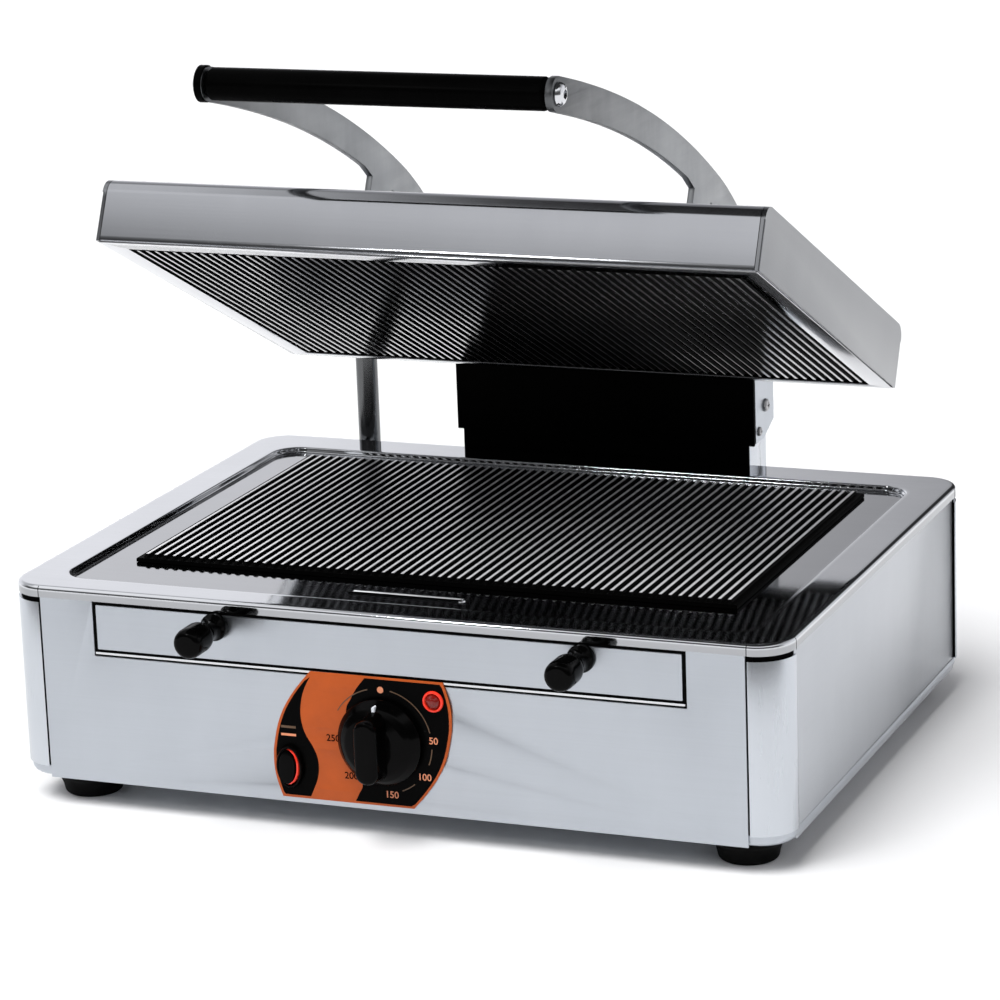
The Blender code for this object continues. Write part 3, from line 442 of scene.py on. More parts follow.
def turned(name, profile, at, axis, look, steps=56, loop=False):
    """A turned piece; the profile is (radius, distance along the axis) pairs."""
    turn = Vector((0, 0, 1)).rotation_difference(Vector(axis)).to_matrix().to_4x4()
    bm = bmesh.new()
    rows = []
    for radius, along in profile:
        if radius < 1e-7:
            rows.append([bm.verts.new((0, 0, along))])
        else:
            rows.append([bm.verts.new((x, y, along)) for x, y in circle((0, 0), radius, steps)])
    for lower, upper in zip(rows, rows[1:] + (rows[:1] if loop else [])):
        if len(lower) > 1 or len(upper) > 1:
            skin(bm, lower if len(lower) > 1 else upper, upper if len(lower) > 1 else lower)
    bmesh.ops.transform(bm, matrix=Matrix.Translation(at) @ turn, verts=bm.verts)
    return linked(name, bm, look)


TURNS = {
    "Z": Matrix.Identity(4),
    "Y": Matrix.Rotation(math.pi / 2, 4, "X"),
    "X": Matrix(((0, 0, 1, 0), (1, 0, 0, 0), (0, 1, 0, 0), (0, 0, 0, 1))),
}


def plate(name, outlines, low, high, look, plane, at=AS_BUILT):
    """A flat piece between two levels on an axis: the first outline less the others."""
    curve = bpy.data.curves.new(name, "CURVE")
    curve.dimensions = "2D"
    curve.fill_mode = "BOTH"
    curve.extrude = (high - low) / 2
    for outline in outlines:
        spline = curve.splines.new("POLY")
        spline.points.add(len(outline) - 1)
        spline.use_cyclic_u = True
        for point, (across, up) in zip(spline.points, outline):
            point.co = (across, up, 0.0, 1.0)
    mesh = flattened(bpy.data.objects.new(name, curve))
    bm = bmesh.new()
    bm.from_mesh(mesh)
    bpy.data.meshes.remove(mesh)
    bmesh.ops.remove_doubles(bm, verts=bm.verts, dist=0.000002)
    level = (high + low) / 2 * (-1 if plane == "Y" else 1)
    bmesh.ops.transform(bm, matrix=TURNS[plane] @ Matrix.Translation((0, 0, level)), verts=bm.verts)
    return linked(name, bm, look, at)


def block(name, low, high, look, at=AS_BUILT):
    bm = bmesh.new()
    bmesh.ops.create_cube(bm, size=1.0)
    bmesh.ops.scale(bm, vec=Vector(high) - Vector(low), verts=bm.verts)
    bmesh.ops.translate(bm, vec=(Vector(high) + Vector(low)) / 2, verts=bm.verts)
    return linked(name, bm, look, at)


def cut(obj, cutter, operation="DIFFERENCE"):
    """Cuts or joins now, and removes the cutter."""
    edit = obj.modifiers.new("cut", "BOOLEAN")
    edit.operation = operation
    edit.object = cutter
    edit.solver = "EXACT"
    obj.data = evaluated(obj)
    obj.modifiers.clear()
    bpy.data.objects.remove(cutter)


def joined(name, pieces):
    """Several meshes as one object."""
    bm = bmesh.new()
    for piece in pieces:
        piece.data.transform(piece.matrix_world)
        bm.from_mesh(piece.data)
    look = pieces[0].data.materials[0]
    for piece in pieces:
        bpy.data.objects.remove(piece)
    return linked(name, bm, look)


def wire(points, radius, sides=8):
    """A thin tube along points, as a mesh with closed ends."""
    bm = bmesh.new()
    path = [Vector(p) for p in points]
    side = (path[1] - path[0]).orthogonal().normalized()
    rows = []
    for i, point in enumerate(path):
        step = path[min(i + 1, len(path) - 1)] - path[max(i - 1, 0)]
        step.normalize()
        side = (side - step * side.dot(step)).normalized()
        other = step.cross(side)
        rows.append([bm.verts.new(point + side * x + other * y) for x, y in circle((0, 0), radius, sides)])
    for lower, upper in zip(rows, rows[1:]):
        skin(bm, lower, upper)
    bm.faces.new(rows[0])
    bm.faces.new(rows[-1])
    return bm


def wires(name, paths, radius, look, sides=8):
    whole = bmesh.new()
    for path in paths:
        part = wire(path, radius, sides)
        mesh = bpy.data.meshes.new("strand")
        part.to_mesh(mesh)
        part.free()
        whole.from_mesh(mesh)
        bpy.data.meshes.remove(mesh)
    return linked(name, whole, look)


# Housing


CORNERS = ("rear_right", "rear_left", "front_left", "front_right")
CORNER_SIGNS = ((1, 1), (-1, 1), (-1, -1), (1, -1))
BEND_R = 0.0026
POST_GAP_Z = post_high.z + 0.0024
RECESS_X = 0.2103
RECESS_Y = (-0.158, 0.15)
RECESS_R = 0.0165
RECESS_EDGE_R = 0.001
RECESS_FLOOR_R = 0.0012
RECESS_LEAN = 0.0009
RECESS_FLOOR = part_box("lower_plate")[0].z - 0.0003
PLATE_HOLE = (0.176, -0.101, 0.124)
SLOT_AT = (-0.0034, -0.135)
SLOT_HALF = 0.0328
SLOT_R = 0.0027


def ring(inset, z, corner_z=None):
    """The housing's outline, drawn in by inset, with its corners at their own height."""
    radius = CORNER_R - inset
    outline = rounded_rectangle(HALF_W - inset, FRONT + inset, BACK - inset, radius)
    lowered = z if corner_z is None else corner_z
    steps = len(outline) // 4
    ends = (0, steps - 1)
    return [(x, y, z if i % steps in ends else lowered) for i, (x, y) in enumerate(outline)]


def recess_ring(inset, z):
    outline = rounded_rectangle(
        RECESS_X - inset, RECESS_Y[0] + inset, RECESS_Y[1] - inset, RECESS_R - inset * 0.6
    )
    return [(x, y, z) for x, y in outline]


def quarter(radius, step):
    """How far a quarter round is drawn in and how far it climbs, from its foot to its head."""
    for turn in range(0, 91, step):
        angle = math.radians(turn)
        yield radius * (1 - math.cos(angle)), radius * (1 - math.sin(angle))


def deck():
    rings = [ring(0.0, SKIRT, POST_GAP_Z)]
    rings += [ring(inset, RIM - drop) for inset, drop in quarter(BEND_R, 10)]
    rings.append(ring(BEND_R + 0.0015, RIM))
    rings.append(recess_ring(-0.003, RIM))
    rings += [recess_ring(-outset, RIM - drop) for drop, outset in quarter(RECESS_EDGE_R, 15)]
    for inset, rise in quarter(RECESS_FLOOR_R, 15):
        rings.append(recess_ring(RECESS_LEAN + inset, RECESS_FLOOR + rise))
    rings.append(recess_ring(RECESS_LEAN + RECESS_FLOOR_R + 0.002, RECESS_FLOOR))
    half_x, low, high = PLATE_HOLE
    rings.append([(x, y, RECESS_FLOOR) for x, y in rounded_rectangle(half_x, low, high, 0.004)])
    pressed = loft("deck_sheet", rings, DECK)
    sheet = pressed.modifiers.new("sheet", "SOLIDIFY")
    sheet.thickness = SHEET
    sheet.offset = -1.0
    slot = [stadium(SLOT_AT, SLOT_HALF, SLOT_R, upright=False)]
    cut(pressed, plate("slot", slot, RECESS_FLOOR - 0.005, RECESS_FLOOR + 0.005, DECK, "Z"))
    show(pressed, "polished_steel", "deck")
    right_end = arc((SLOT_AT[0] + SLOT_HALF, SLOT_AT[1]), SLOT_R + 0.0004, -70, 90, 12)
    edge = right_end + [(SLOT_AT[0] - SLOT_HALF, SLOT_AT[1] + SLOT_R + 0.0004)]
    lip = [(x, y, RECESS_FLOOR + 0.0001) for x, y in edge]
    show(wires("grease_slot_bead", [lip], 0.001, BRIGHT), "polished_steel")
    # A black plate under the slot, so that the opening shows dark: painted shade.
    dark = [stadium(SLOT_AT, SLOT_HALF - 0.0001, SLOT_R - 0.0001, upright=False)]
    slot_shade = plate("grease_slot_well", dark, RECESS_FLOOR - 0.003, RECESS_FLOOR - 0.0012, SHADOW_GAP, "Z")
    show(slot_shade, "polished_steel")


def lip_seams():
    """Where the corner caps meet the folded edges, on the bend at each corner."""
    half = 0.00022
    profile = [(-NUDGE, SKIRT - 0.0009)]
    for turn in range(0, 70, 10):
        angle = math.radians(turn)
        radius = BEND_R + NUDGE
        profile.append((BEND_R - radius * math.cos(angle), RIM - BEND_R + radius * math.sin(angle)))
    pieces = []
    for sx in (-1, 1):
        for y, sy in ((FRONT, 1), (BACK, -1)):
            x = sx * STRAIGHT_X
            y_end = y + sy * CORNER_R
            ends = (-half, half)
            across = [[(x + side, y + sy * inset, z) for inset, z in profile] for side in ends]
            along = [[(sx * (HALF_W - inset), y_end + side, z) for inset, z in profile] for side in ends]
            pieces += [loft("seam", rows, SHADOW_GAP, closed=False) for rows in (across, along)]
    show(joined("corner_cap_seams", pieces), "satin_steel", thickness=0.0001)


def corner_gap_shading():
    """Dark strips behind the gaps between the corner posts and the deck's corner caps, and
    behind the posts' long edges: painted shade inside the gaps."""
    strips = []
    uprights = []
    for turn, (sx, sy) in enumerate(CORNER_SIGNS):
        middle = (sx * (HALF_W - CORNER_R), sy * (BACK - CORNER_R))
        start = turn * 90 - 6
        outer = arc(middle, CORNER_R - 0.002, start, start + 102, 24)
        inner = arc(middle, CORNER_R - 0.0026, start + 102, start, 24)
        low, high = post_high.z - 0.003, POST_GAP_Z + 0.003
        strips.append(plate("strip", [outer + inner], low, high, SHADOW_GAP, "Z"))
    show(joined("corner_gap_backing", strips), "satin_steel")
    for sx in (-1, 1):
        for sy, y in ((-1, FRONT), (1, BACK)):
            x = sx * STRAIGHT_X
            y_end = y - sy * CORNER_R
            behind = (sx * (HALF_W - 0.0036), sx * (HALF_W - 0.0031), sx * (HALF_W - 0.0003))
            for xs, ys, low, high in (
                ((x - 0.003, x + 0.003), (y - sy * 0.0022, y - sy * 0.0017), post_low.z, SKIRT),
                (behind[:2], (y_end - 0.003, y_end + 0.003), post_low.z, SKIRT),
                (behind[1:], (y_end, y_end - sy * 0.0003), post_low.z + 0.0006, post_high.z - 0.0008),
            ):
                near, far = (min(xs), min(ys), low), (max(xs), max(ys), high)
                uprights.append(block("upright", near, far, SHADOW_GAP))
    show(joined("corner_seam_backing", uprights), "satin_steel")


def skin_panel(name, outlines, low, high, look, plane, node):
    """A wall of the housing: soft at every edge but the top one, where it runs on into the deck."""
    wall = plate(name, outlines, low, high, look, plane)
    bm = bmesh.new()
    bm.from_mesh(wall.data)
    edges = [
        e
        for e in bm.edges
        if len(e.link_faces) == 2
        and e.calc_face_angle() > 0.6
        and min(v.co.z for v in e.verts) < SKIRT - 0.0005
    ]
    bmesh.ops.bevel(bm, geom=edges, offset=0.00035, segments=2, profile=0.5, affect="EDGES")
    bm.to_mesh(wall.data)
    bm.free()
    return show(wall, "satin_steel", node)


SIDE_INSET = 0.0016
DRAWER_LOW, DRAWER_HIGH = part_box("drawer_front")
OPENING_X = DRAWER_HIGH.x + 0.0008
STRIP_T = 0.0013
STRIP_GAP = 0.0007
OPENING_Z = DRAWER_LOW.z - STRIP_T - 2 * STRIP_GAP - 0.0005
STRIP_LOW = DRAWER_LOW.z - STRIP_T - STRIP_GAP
LAMP_AT = (0.0311, 0.0846)
SWITCH_AT = (-0.0582, 0.0385)
SWITCH_HOLE = (0.0074, 0.0118)
SHAFT_R = 0.0045
LAMP_R = 0.0052
ROCKER_LEAN = math.radians(-5.0)
GLAND_AT = (0.15, 0.054)


def control_holes():
    """The holes for the dial's shaft, the switch and the lamp."""
    return [circle((KNOB.x, KNOB.z), SHAFT_R), oval(SWITCH_AT, *SWITCH_HOLE), circle(LAMP_AT, LAMP_R)]


def walls():
    edge = STRAIGHT_X - 0.0008
    bottom = pan_low.z
    outline = [(-edge, bottom), (edge, bottom), (edge, SKIRT), (OPENING_X, SKIRT)]
    outline += [(OPENING_X, OPENING_Z), (-OPENING_X, OPENING_Z), (-OPENING_X, SKIRT), (-edge, SKIRT)]
    pieces = [outline] + control_holes()
    skin_panel("front_wall", pieces, FRONT, FRONT + SHEET, PANEL, "Y", "front_panel")
    pieces = [rectangle(edge, bottom, SKIRT), circle(GLAND_AT, 0.0085)]
    skin_panel("rear_wall", pieces, BACK - SHEET, BACK, PANEL, "Y", "rear_panel")
    whole = rectangle(BACK - CORNER_R - 0.0005, bottom, SKIRT)
    for side, low in (("right", HALF_W - SHEET - SIDE_INSET), ("left", SIDE_INSET - HALF_W)):
        skin_panel(side + "_wall", [whole], low, low + SHEET, SIDE, "X", "side_panel_" + side)
    sill = fillet(rectangle(DRAWER_HIGH.x, STRIP_LOW, STRIP_LOW + STRIP_T), 0.0002, closed=True)
    strip = plate("drawer_sill_strip", [sill], FRONT - 0.0002, FRONT + 0.004, BRIGHT, "Y")
    show(strip, "satin_steel", bevel=0.0003)


def corner_posts():
    for turn, (name, (sx, sy)) in enumerate(zip(CORNERS, CORNER_SIGNS)):
        middle = (sx * (HALF_W - CORNER_R), sy * (BACK - CORNER_R))
        start = turn * 90 + 0.6
        outer = arc(middle, CORNER_R, start, start + 88.8, 24)
        inner = arc(middle, CORNER_R - 0.0015, start + 88.8, start, 24)
        post = plate("post_" + name, [outer + inner], post_low.z, post_high.z - 0.0006, POST, "Z")
        show(post, "satin_steel", "corner_post_" + name, bevel=0.0006)


def base_pan():
    """The tray under the housing, with a soft lower edge that shows below the posts."""
    side = 0.0014
    rings = [ring(side + inset, pan_low.z + rise) for rise, inset in quarter(0.0038, 15)]
    top = pan_high.z + 0.0002
    rings += [ring(side, top), ring(side + 0.0012, top), ring(side + 0.0012, pan_low.z + SHEET)]
    tray = loft("base_pan", rings, PANEL, caps=True)
    for y in (-0.05, 0.0, 0.05):
        for step in range(9):
            vent = stadium((-0.12 + 0.03 * step, y), 0.01, 0.0022)
            cut(tray, plate("vent", [vent], pan_low.z - 0.003, pan_low.z + 0.004, PANEL, "Z"))
    show(tray, "satin_steel", "bottom_pan")


def feet():
    profile = [(0.0, 0.0022), (0.0085, 0.0022), (0.009, 0.0), (0.0158, 0.0), (0.017, 0.0014)]
    profile += [(0.018, 0.0062), (0.0196, 0.0098), (0.022, 0.012), (0.0222, 0.0154)]
    profile += [(0.0212, 0.0163), (0.0, 0.0163)]
    for name in ("front_right", "front_left", "rear_right", "rear_left"):
        low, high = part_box("foot_" + name)
        middle = (low + high) / 2
        at = (middle.x, middle.y, 0)
        foot = turned("rubber_foot_" + name, fillet(profile, 0.0012), at, UP, RUBBER)
        show(foot, "rubber", "foot_" + name)


# Cast plates


RIB_PITCH = 0.0058
RIB_H = 0.002
RIB_END = 0.0024
RIB_FLANK = ((0.12, 0.0), (0.2, 0.12), (0.31, 0.8), (0.34, 0.92), (0.37, 1.0))


def cast_plate(name, node, look, low, high, base, tip, body="housing", at=AS_BUILT):
    """Ribs from front to back, ground off at an angle at both ends."""
    half_x = high.x
    count = int(2 * half_x / RIB_PITCH)
    margin = half_x - count * RIB_PITCH / 2
    toward = 1 if tip > base else -1
    root = tip - toward * RIB_H
    shape = RIB_FLANK + tuple((1 - across, rise) for across, rise in reversed(RIB_FLANK))
    section = [(-half_x, base), (-half_x, root - toward * 0.0006), (-half_x + 0.0006, root)]
    rises = [0.0] * 3
    for rib in range(count):
        left = -half_x + margin + rib * RIB_PITCH
        for across, rise in shape:
            section.append((left + across * RIB_PITCH, root + toward * rise * RIB_H))
            rises.append(rise)
    section += [(half_x - 0.0006, root), (half_x, root - toward * 0.0006), (half_x, base)]
    rises += [0.0] * 3
    margin_y = 0.0012
    stations = ((low.y, 0.0), (low.y + margin_y, 0.0), (low.y + margin_y + RIB_END, 1.0))
    stations += ((high.y - margin_y - RIB_END, 1.0), (high.y - margin_y, 0.0), (high.y, 0.0))
    rings = [
        [(x, y, z - toward * rise * RIB_H * (1 - share)) for (x, z), rise in zip(section, rises)]
        for y, share in stations
    ]
    cast = loft(name, rings, look, at, caps=True)
    return show(cast, "cast_iron", node, body=body, smooth=15)


def plates():
    low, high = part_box("lower_plate")
    # Pale rib tips on the lower plate, lighter than the same iron above: painted light.
    iron = cast_iron("cast_iron_lower", high.z - RIB_H, high.z, 0.86, 0.35, 0.3)
    cast_plate("ribbed_plate_lower", "lower_plate", iron, low, high, low.z, high.z)


def carry_over():
    """The frame's own nodes that keep their shape, each with its finish."""
    looks = {
        "satin_steel": PANEL,
        "polished_steel": BRIGHT,
        "zinc_steel": ZINC,
        "black_paint": BLACK_PAINT,
        "rubber": RUBBER,
        "bakelite": BAKELITE,
        "fascia_print": ORANGE,
        "red_lens": RED,
        "insulation_fibre": FIBRE,
        "element_sheath": SHEATH,
        "braided_sleeve": BRAID,
        "white_ceramic": CERAMIC,
        "cast_iron": cast_iron("cast_iron_plain", -1.0, 1.0),
    }
    slots = {part["node"]: part["material_slot"] for part in frame["record"]["subparts"]}
    for name, node in frame["nodes"].items():
        if node.hide_render:
            continue
        node.data.materials.clear()
        node.data.materials.append(looks[slots[name]])
        if slots[name] in ("satin_steel", "zinc_steel", "polished_steel", "black_paint"):
            soften(node, 0.0003)


# Drawer


def drawer():
    half_x = DRAWER_HIGH.x - 0.0015
    low_z = DRAWER_LOW.z + 0.0009
    top_z = DRAWER_HIGH.z - 0.0013
    outline = fillet(rectangle(half_x, low_z, top_z), 0.0006, True)
    face = plate("drawer_face", [outline], FRONT, FRONT + 0.0015, PANEL, "Y")
    show(face, "satin_steel", "drawer_front", bevel=0.0004, body="drawer")
    tray_low, tray_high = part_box("drawer_tray")
    clear_x = tray_high.x + 0.0037
    way_low = tray_low.z - 0.0003
    way_high = tray_high.z + 0.0007
    way = rectangle(clear_x, way_low, way_high)
    around = rectangle(clear_x + 0.0063, way_low - 0.0045, SKIRT)
    # Black sheets in the gap round the drawer face and behind it, so that the gap shows dark: painted shade.
    gap_shade_outline = rectangle(OPENING_X - NUDGE, STRIP_LOW + STRIP_T + 0.0001, SKIRT - 0.0001)
    edge = 0.0004
    within = rectangle(half_x + edge, low_z - edge, top_z + edge)
    front_gap_shade = plate("drawer_gap_lining", [gap_shade_outline, within], FRONT + 0.0006, FRONT + 0.0021, SHADOW_GAP, "Y")
    show(front_gap_shade, "satin_steel")
    rear_gap_shade = plate("drawer_gap_backing", [around, way], FRONT + 0.0022, FRONT + 0.0027, SHADOW_GAP, "Y")
    show(rear_gap_shade, "satin_steel")
    profile = [(0.0, 0.0), (0.0076, 0.0), (0.008, 0.0008), (0.008, 0.0042), (0.0064, 0.0062)]
    profile += [(0.0055, 0.009), (0.0055, 0.0135), (0.0068, 0.017), (0.0082, 0.0196), (0.0088, 0.0225)]
    profile += [(0.0088, 0.0345), (0.008, 0.0375), (0.006, 0.0389), (0.0, 0.0392)]
    for side in ("left", "right"):
        low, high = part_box("drawer_knob_" + side)
        middle = (low + high) / 2
        at = (middle.x, high.y, middle.z)
        pull = turned("drawer_pull_" + side, fillet(profile, 0.0012), at, FORWARD, BAKELITE)
        show(pull, "bakelite", "drawer_knob_" + side, body="drawer")


# Controls


FASCIA = (-0.0136, 0.0578)
CORNER = Vector((0.0504, 0.038))
BULGE = Vector((0.0549, 0.0104))
FOOT = Vector((0.0302, -0.0378))
BORDER = 0.0013
DIAL_SCALE_R = 0.0305
fascia_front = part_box("fascia")[0].y


def on_fascia(points):
    return [(FASCIA[0] + x, FASCIA[1] + z) for x, z in points]


def bow(inset=0.0):
    """The right-hand edge of the panel, from its top corner to its foot."""
    points = []
    for step in range(10):
        t = step / 10
        points.append(CORNER.lerp(BULGE, t) + Vector((0.0019 * math.sin(math.pi * t), 0.0)))
    for step in range(17):
        t = step / 16
        swell = 0.0052 * math.sin(math.pi * t)
        points.append(BULGE.lerp(FOOT, t) + Vector((swell, -0.1 * swell)))
    low = FOOT.y + inset
    high = CORNER.y - inset
    sideways = inset * 1.25
    return [(p.x - sideways, min(high, max(low, p.y))) for p in points]


def turned_half_round(points):
    return [(-x, -z) for x, z in points]


def print_layer(name, outlines, look, level):
    """Print on the panel, raised by its level so that each colour lies on the one below."""
    front = fascia_front - level * NUDGE
    layer = plate(name, outlines, front, front + NUDGE, look, "Y")
    return show(layer, "fascia_print")


def ribbon(points, width):
    """An outline of that width along a line."""
    path = [Vector(p) for p in points]
    left = []
    right = []
    for i, point in enumerate(path):
        step = path[min(i + 1, len(path) - 1)] - path[max(i - 1, 0)]
        normal = Vector((-step.y, step.x)).normalized() * width / 2
        left.append(tuple(point + normal))
        right.append(tuple(point - normal))
    return left + right[::-1]


def number(text, middle, look, size):
    """A dial number, centred, on the face of the panel."""
    curve = bpy.data.curves.new("number_" + text, "FONT")
    curve.body = text
    curve.size = size
    curve.align_x = "CENTER"
    curve.align_y = "CENTER"
    curve.extrude = NUDGE / 2
    curve.offset = 0.00006
    mesh = flattened(bpy.data.objects.new("draft", curve))
    turn = Matrix.Translation((middle[0], fascia_front - 2.5 * NUDGE, middle[1])) @ TURNS["Y"]
    mesh.transform(turn)
    made = bpy.data.objects.new("dial_number_" + text, mesh)
    mesh.materials.clear()
    mesh.materials.append(look)
    bpy.context.scene.collection.objects.link(made)
    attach(made, "housing")


def around_dial(angle, radius):
    """A point round the dial, clockwise from the top, in degrees."""
    turn = math.radians(angle)
    return (KNOB.x + radius * math.sin(turn), KNOB.z + radius * math.cos(turn))


def fascia():
    right = bow()
    outline = on_fascia(right + turned_half_round(right))
    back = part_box("fascia")[1].y
    panel = plate("fascia_panel", [outline] + control_holes(), fascia_front, back, ORANGE, "Y")
    show(panel, "fascia_print", "fascia", bevel=0.0001)
    inner = bow(inset=BORDER)
    switch = (SWITCH_AT[0] - FASCIA[0], SWITCH_AT[1] - FASCIA[1])
    lamp = (LAMP_AT[0] - FASCIA[0], LAMP_AT[1] - FASCIA[1])
    dial = (KNOB.x - FASCIA[0], KNOB.z - FASCIA[1])
    band_right = [(0.0033, 0.0367), (-0.002, 0.0301), (-0.0056, 0.0239), (-0.0088, 0.017), (-0.0085, 0.0)]
    band_right += [(-0.004, -0.016), (-0.0008, -0.0263), (-0.003, -0.0318), (-0.0054, -0.0365)]
    edge = [tuple(p) for p in smooth_line(band_right, 6)]
    top_z = CORNER.y - BORDER
    low_z = FOOT.y + BORDER
    field = inner + [(edge[-1][0], low_z)] + [p for p in edge[::-1] if low_z < p[1] < top_z]
    field += [(edge[0][0], top_z)]
    outlines = [on_fascia(o) for o in (field, circle(dial, SHAFT_R), circle(lamp, LAMP_R))]
    print_layer("fascia_field_right", outlines, BLACK_PRINT, 1)
    band_left = [(-0.0302, 0.0345), (-0.0334, 0.0288), (-0.0358, 0.0222), (-0.0371, 0.0137)]
    band_left += [(-0.0364, 0.0057), (-0.0342, -0.0004), (-0.0306, -0.0063)]
    band_left += [(-0.0279, -0.0127), (-0.0273, -0.0193)]
    band_left += [(-0.0285, -0.0261), (-0.0312, -0.0325), (-0.033, low_z)]
    edge = [tuple(p) for p in smooth_line(band_left, 6)]
    # The left field runs down the panel's left edge and back up along the band.
    rim = sorted((p for p in turned_half_round(inner) if p[1] <= 0.0335), key=lambda p: -p[1])
    field = [(x, max(low_z, z)) for x, z in rim] + edge[::-1]
    outlines = [on_fascia(field), on_fascia(oval(switch, *SWITCH_HOLE))]
    print_layer("fascia_field_left", outlines, BLACK_PRINT, 1)
    for text, angle, look in (
        ("50", 85, PALE_PRINT),
        ("100", 127, PALE_PRINT),
        ("150", 171, PALE_PRINT),
        ("200", 221, BLACK_PRINT),
        ("250", 268, BLACK_PRINT),
    ):
        closer = 0.0012 if look is PALE_PRINT else -0.0008
        number(text, around_dial(angle, DIAL_SCALE_R + closer), look, 0.0056)
    for index, (start, end) in enumerate(((12, 76), (94, 112), (141, 158), (301, 346))):
        line = [around_dial(start + (end - start) * i / 12, DIAL_SCALE_R) for i in range(13)]
        print_layer("scale_arc_%d" % index, [ribbon(line, 0.0006)], BROWN_PRINT, 2)
    print_layer("scale_zero_dot", [circle(around_dial(1, DIAL_SCALE_R - 0.0004), 0.0019)], PALE_PRINT, 2)
    icon_x = SWITCH_AT[0] - 0.0005
    for index, z in enumerate((0.0038, -0.0008)):
        mark_z = FASCIA[1] + z
        bar = [(icon_x - 0.0046, mark_z - 0.0007), (icon_x + 0.0046, mark_z - 0.0007)]
        bar += [(icon_x + 0.0046, mark_z + 0.0007), (icon_x - 0.0046, mark_z + 0.0007)]
        print_layer("icon_bar_%d" % index, [bar], PALE_PRINT if index else BROWN_PRINT, 2)


def dial():
    face = fascia_front
    profile = [(0.0045, 0.0008), (0.0235, 0.0008), (0.0252, 0.0014), (0.0255, 0.0026), (0.0253, 0.0038)]
    profile += [(0.024, 0.0054), (0.0215, 0.0082), (0.018, 0.0103), (0.012, 0.0117), (0.0, 0.0122)]
    at = (KNOB.x, face, KNOB.z)
    knob = turned("dial_flange", fillet(profile, 0.0009), at, FORWARD, BAKELITE, 72)
    show(knob, "bakelite", "thermostat_knob", body="dial")
    rings = []
    half = 0.0118
    stages = ((0.0084, 0.006), (0.008, 0.0098), (0.0073, 0.0135), (0.007, 0.019), (0.0069, 0.0222))
    stages += ((0.0066, 0.0232), (0.006, 0.0238), (0.0048, 0.0241))
    for radius, out in stages:
        outline = stadium((KNOB.x, KNOB.z), half + (radius - 0.007) * 0.5, radius, steps=14)
        rings.append([(x, face - out, z) for x, z in outline])
    show(loft("dial_grip", rings, BAKELITE, caps=True), "bakelite", body="dial")
    mark = stadium((KNOB.x, KNOB.z + 0.0205), 0.0017, 0.0009)
    pointer = plate("dial_pointer", [mark], face - 0.0101, face - 0.006, WHITE_PRINT, "Y")
    show(pointer, "bakelite", bevel=0.0002, body="dial")


def switch():
    """An oval rocker in its cup, top pressed in, with a lit rim that shows at its right."""
    face = fascia_front
    middle = Vector((SWITCH_AT[0], FRONT, SWITCH_AT[1]))
    tip = Matrix.Rotation(ROCKER_LEAN, 4, "X")
    lean = Matrix.Translation(middle) @ tip @ Matrix.Translation(-middle)

    def oval_rings(stages, shift=0.0):
        return [
            [(x + shift, face - out, z) for x, z in oval(SWITCH_AT, half_x, half_z)]
            for half_x, half_z, out in stages
        ]

    cup = [(0.0065, 0.0109, -0.008), (0.0065, 0.0109, 0.003), (0.0068, 0.0112, 0.0034)]
    cup += [(0.0075, 0.012, 0.0033), (0.0083, 0.0128, 0.002), (0.0084, 0.0129, 0.0003)]
    cup += [(0.0066, 0.011, 0.0003)]
    bezel = loft("switch_bezel", oval_rings(cup), BAKELITE)
    show(bezel, "bakelite", "power_switch_housing")
    lit = [(0.0059, 0.0101, 0.001), (0.0059, 0.0101, 0.0034)]
    lit += [(0.0052, 0.0094, 0.004), (0.0052, 0.0094, 0.001)]
    show(loft("switch_lit_rim", oval_rings(lit), RED, lean), "red_lens", body="rocker")
    cap = [(0.0052, 0.0099, -0.004), (0.0052, 0.0099, 0.0041)]
    cap += [(0.0049, 0.0095, 0.0047), (0.0038, 0.008, 0.005)]
    rocker = loft("switch_cap", oval_rings(cap, -0.0007), BAKELITE, lean, caps=True)
    show(rocker, "bakelite", "power_rocker", body="rocker")


def lamp():
    at = (LAMP_AT[0], fascia_front, LAMP_AT[1])
    rim = [(0.0047, 0.0002), (0.0061, 0.0002), (0.0062, 0.001)]
    rim += [(0.0058, 0.0021), (0.005, 0.0022), (0.0046, 0.0015)]
    bezel = turned("lamp_bezel", fillet(rim, 0.0004, True), at, FORWARD, RED, loop=True)
    show(bezel, "red_lens")
    dome = [(0.0, -0.011), (0.0045, -0.011), (0.0045, 0.0006)]
    dome += [(0.004, 0.0022), (0.0026, 0.0038), (0.0, 0.0044)]
    lens = turned("lamp_lens", fillet(dome, 0.0006), at, FORWARD, DARK_RED)
    show(lens, "red_lens", "pilot_lamp")


# Tower, conduit and rear


def screw_head(name, at, axis, radius, *nodes, body="housing", look=ZINC, slot="zinc_steel", sides=0):
    """A domed head with a cross recess, or with a recess of that many sides."""
    height = radius * 0.62
    profile = [(0.0, 0.0), (radius, 0.0), (radius * 0.98, height * 0.35), (radius * 0.78, height * 0.8)]
    profile += [(radius * 0.45, height * 0.97), (0.0, height)]
    head = turned(name, fillet(profile, radius * 0.12), at, axis, look, 32)
    turn = Matrix.Translation(at) @ Vector(UP).rotation_difference(Vector(axis)).to_matrix().to_4x4()
    if sides:
        outline = circle((0, 0), radius * 0.42, sides)
        cut(head, plate("tool", [outline], height * 0.35, height * 1.6, look, "Z", turn))
    else:
        arm = radius * 0.52
        width = radius * 0.11
        for half_x, half_y in ((arm, width), (width, arm)):
            low = (-half_x, -half_y, height * 0.45)
            cut(head, block("tool", low, (half_x, half_y, height * 1.6), look, turn))
    return show(head, slot, *nodes, body=body, smooth=35)


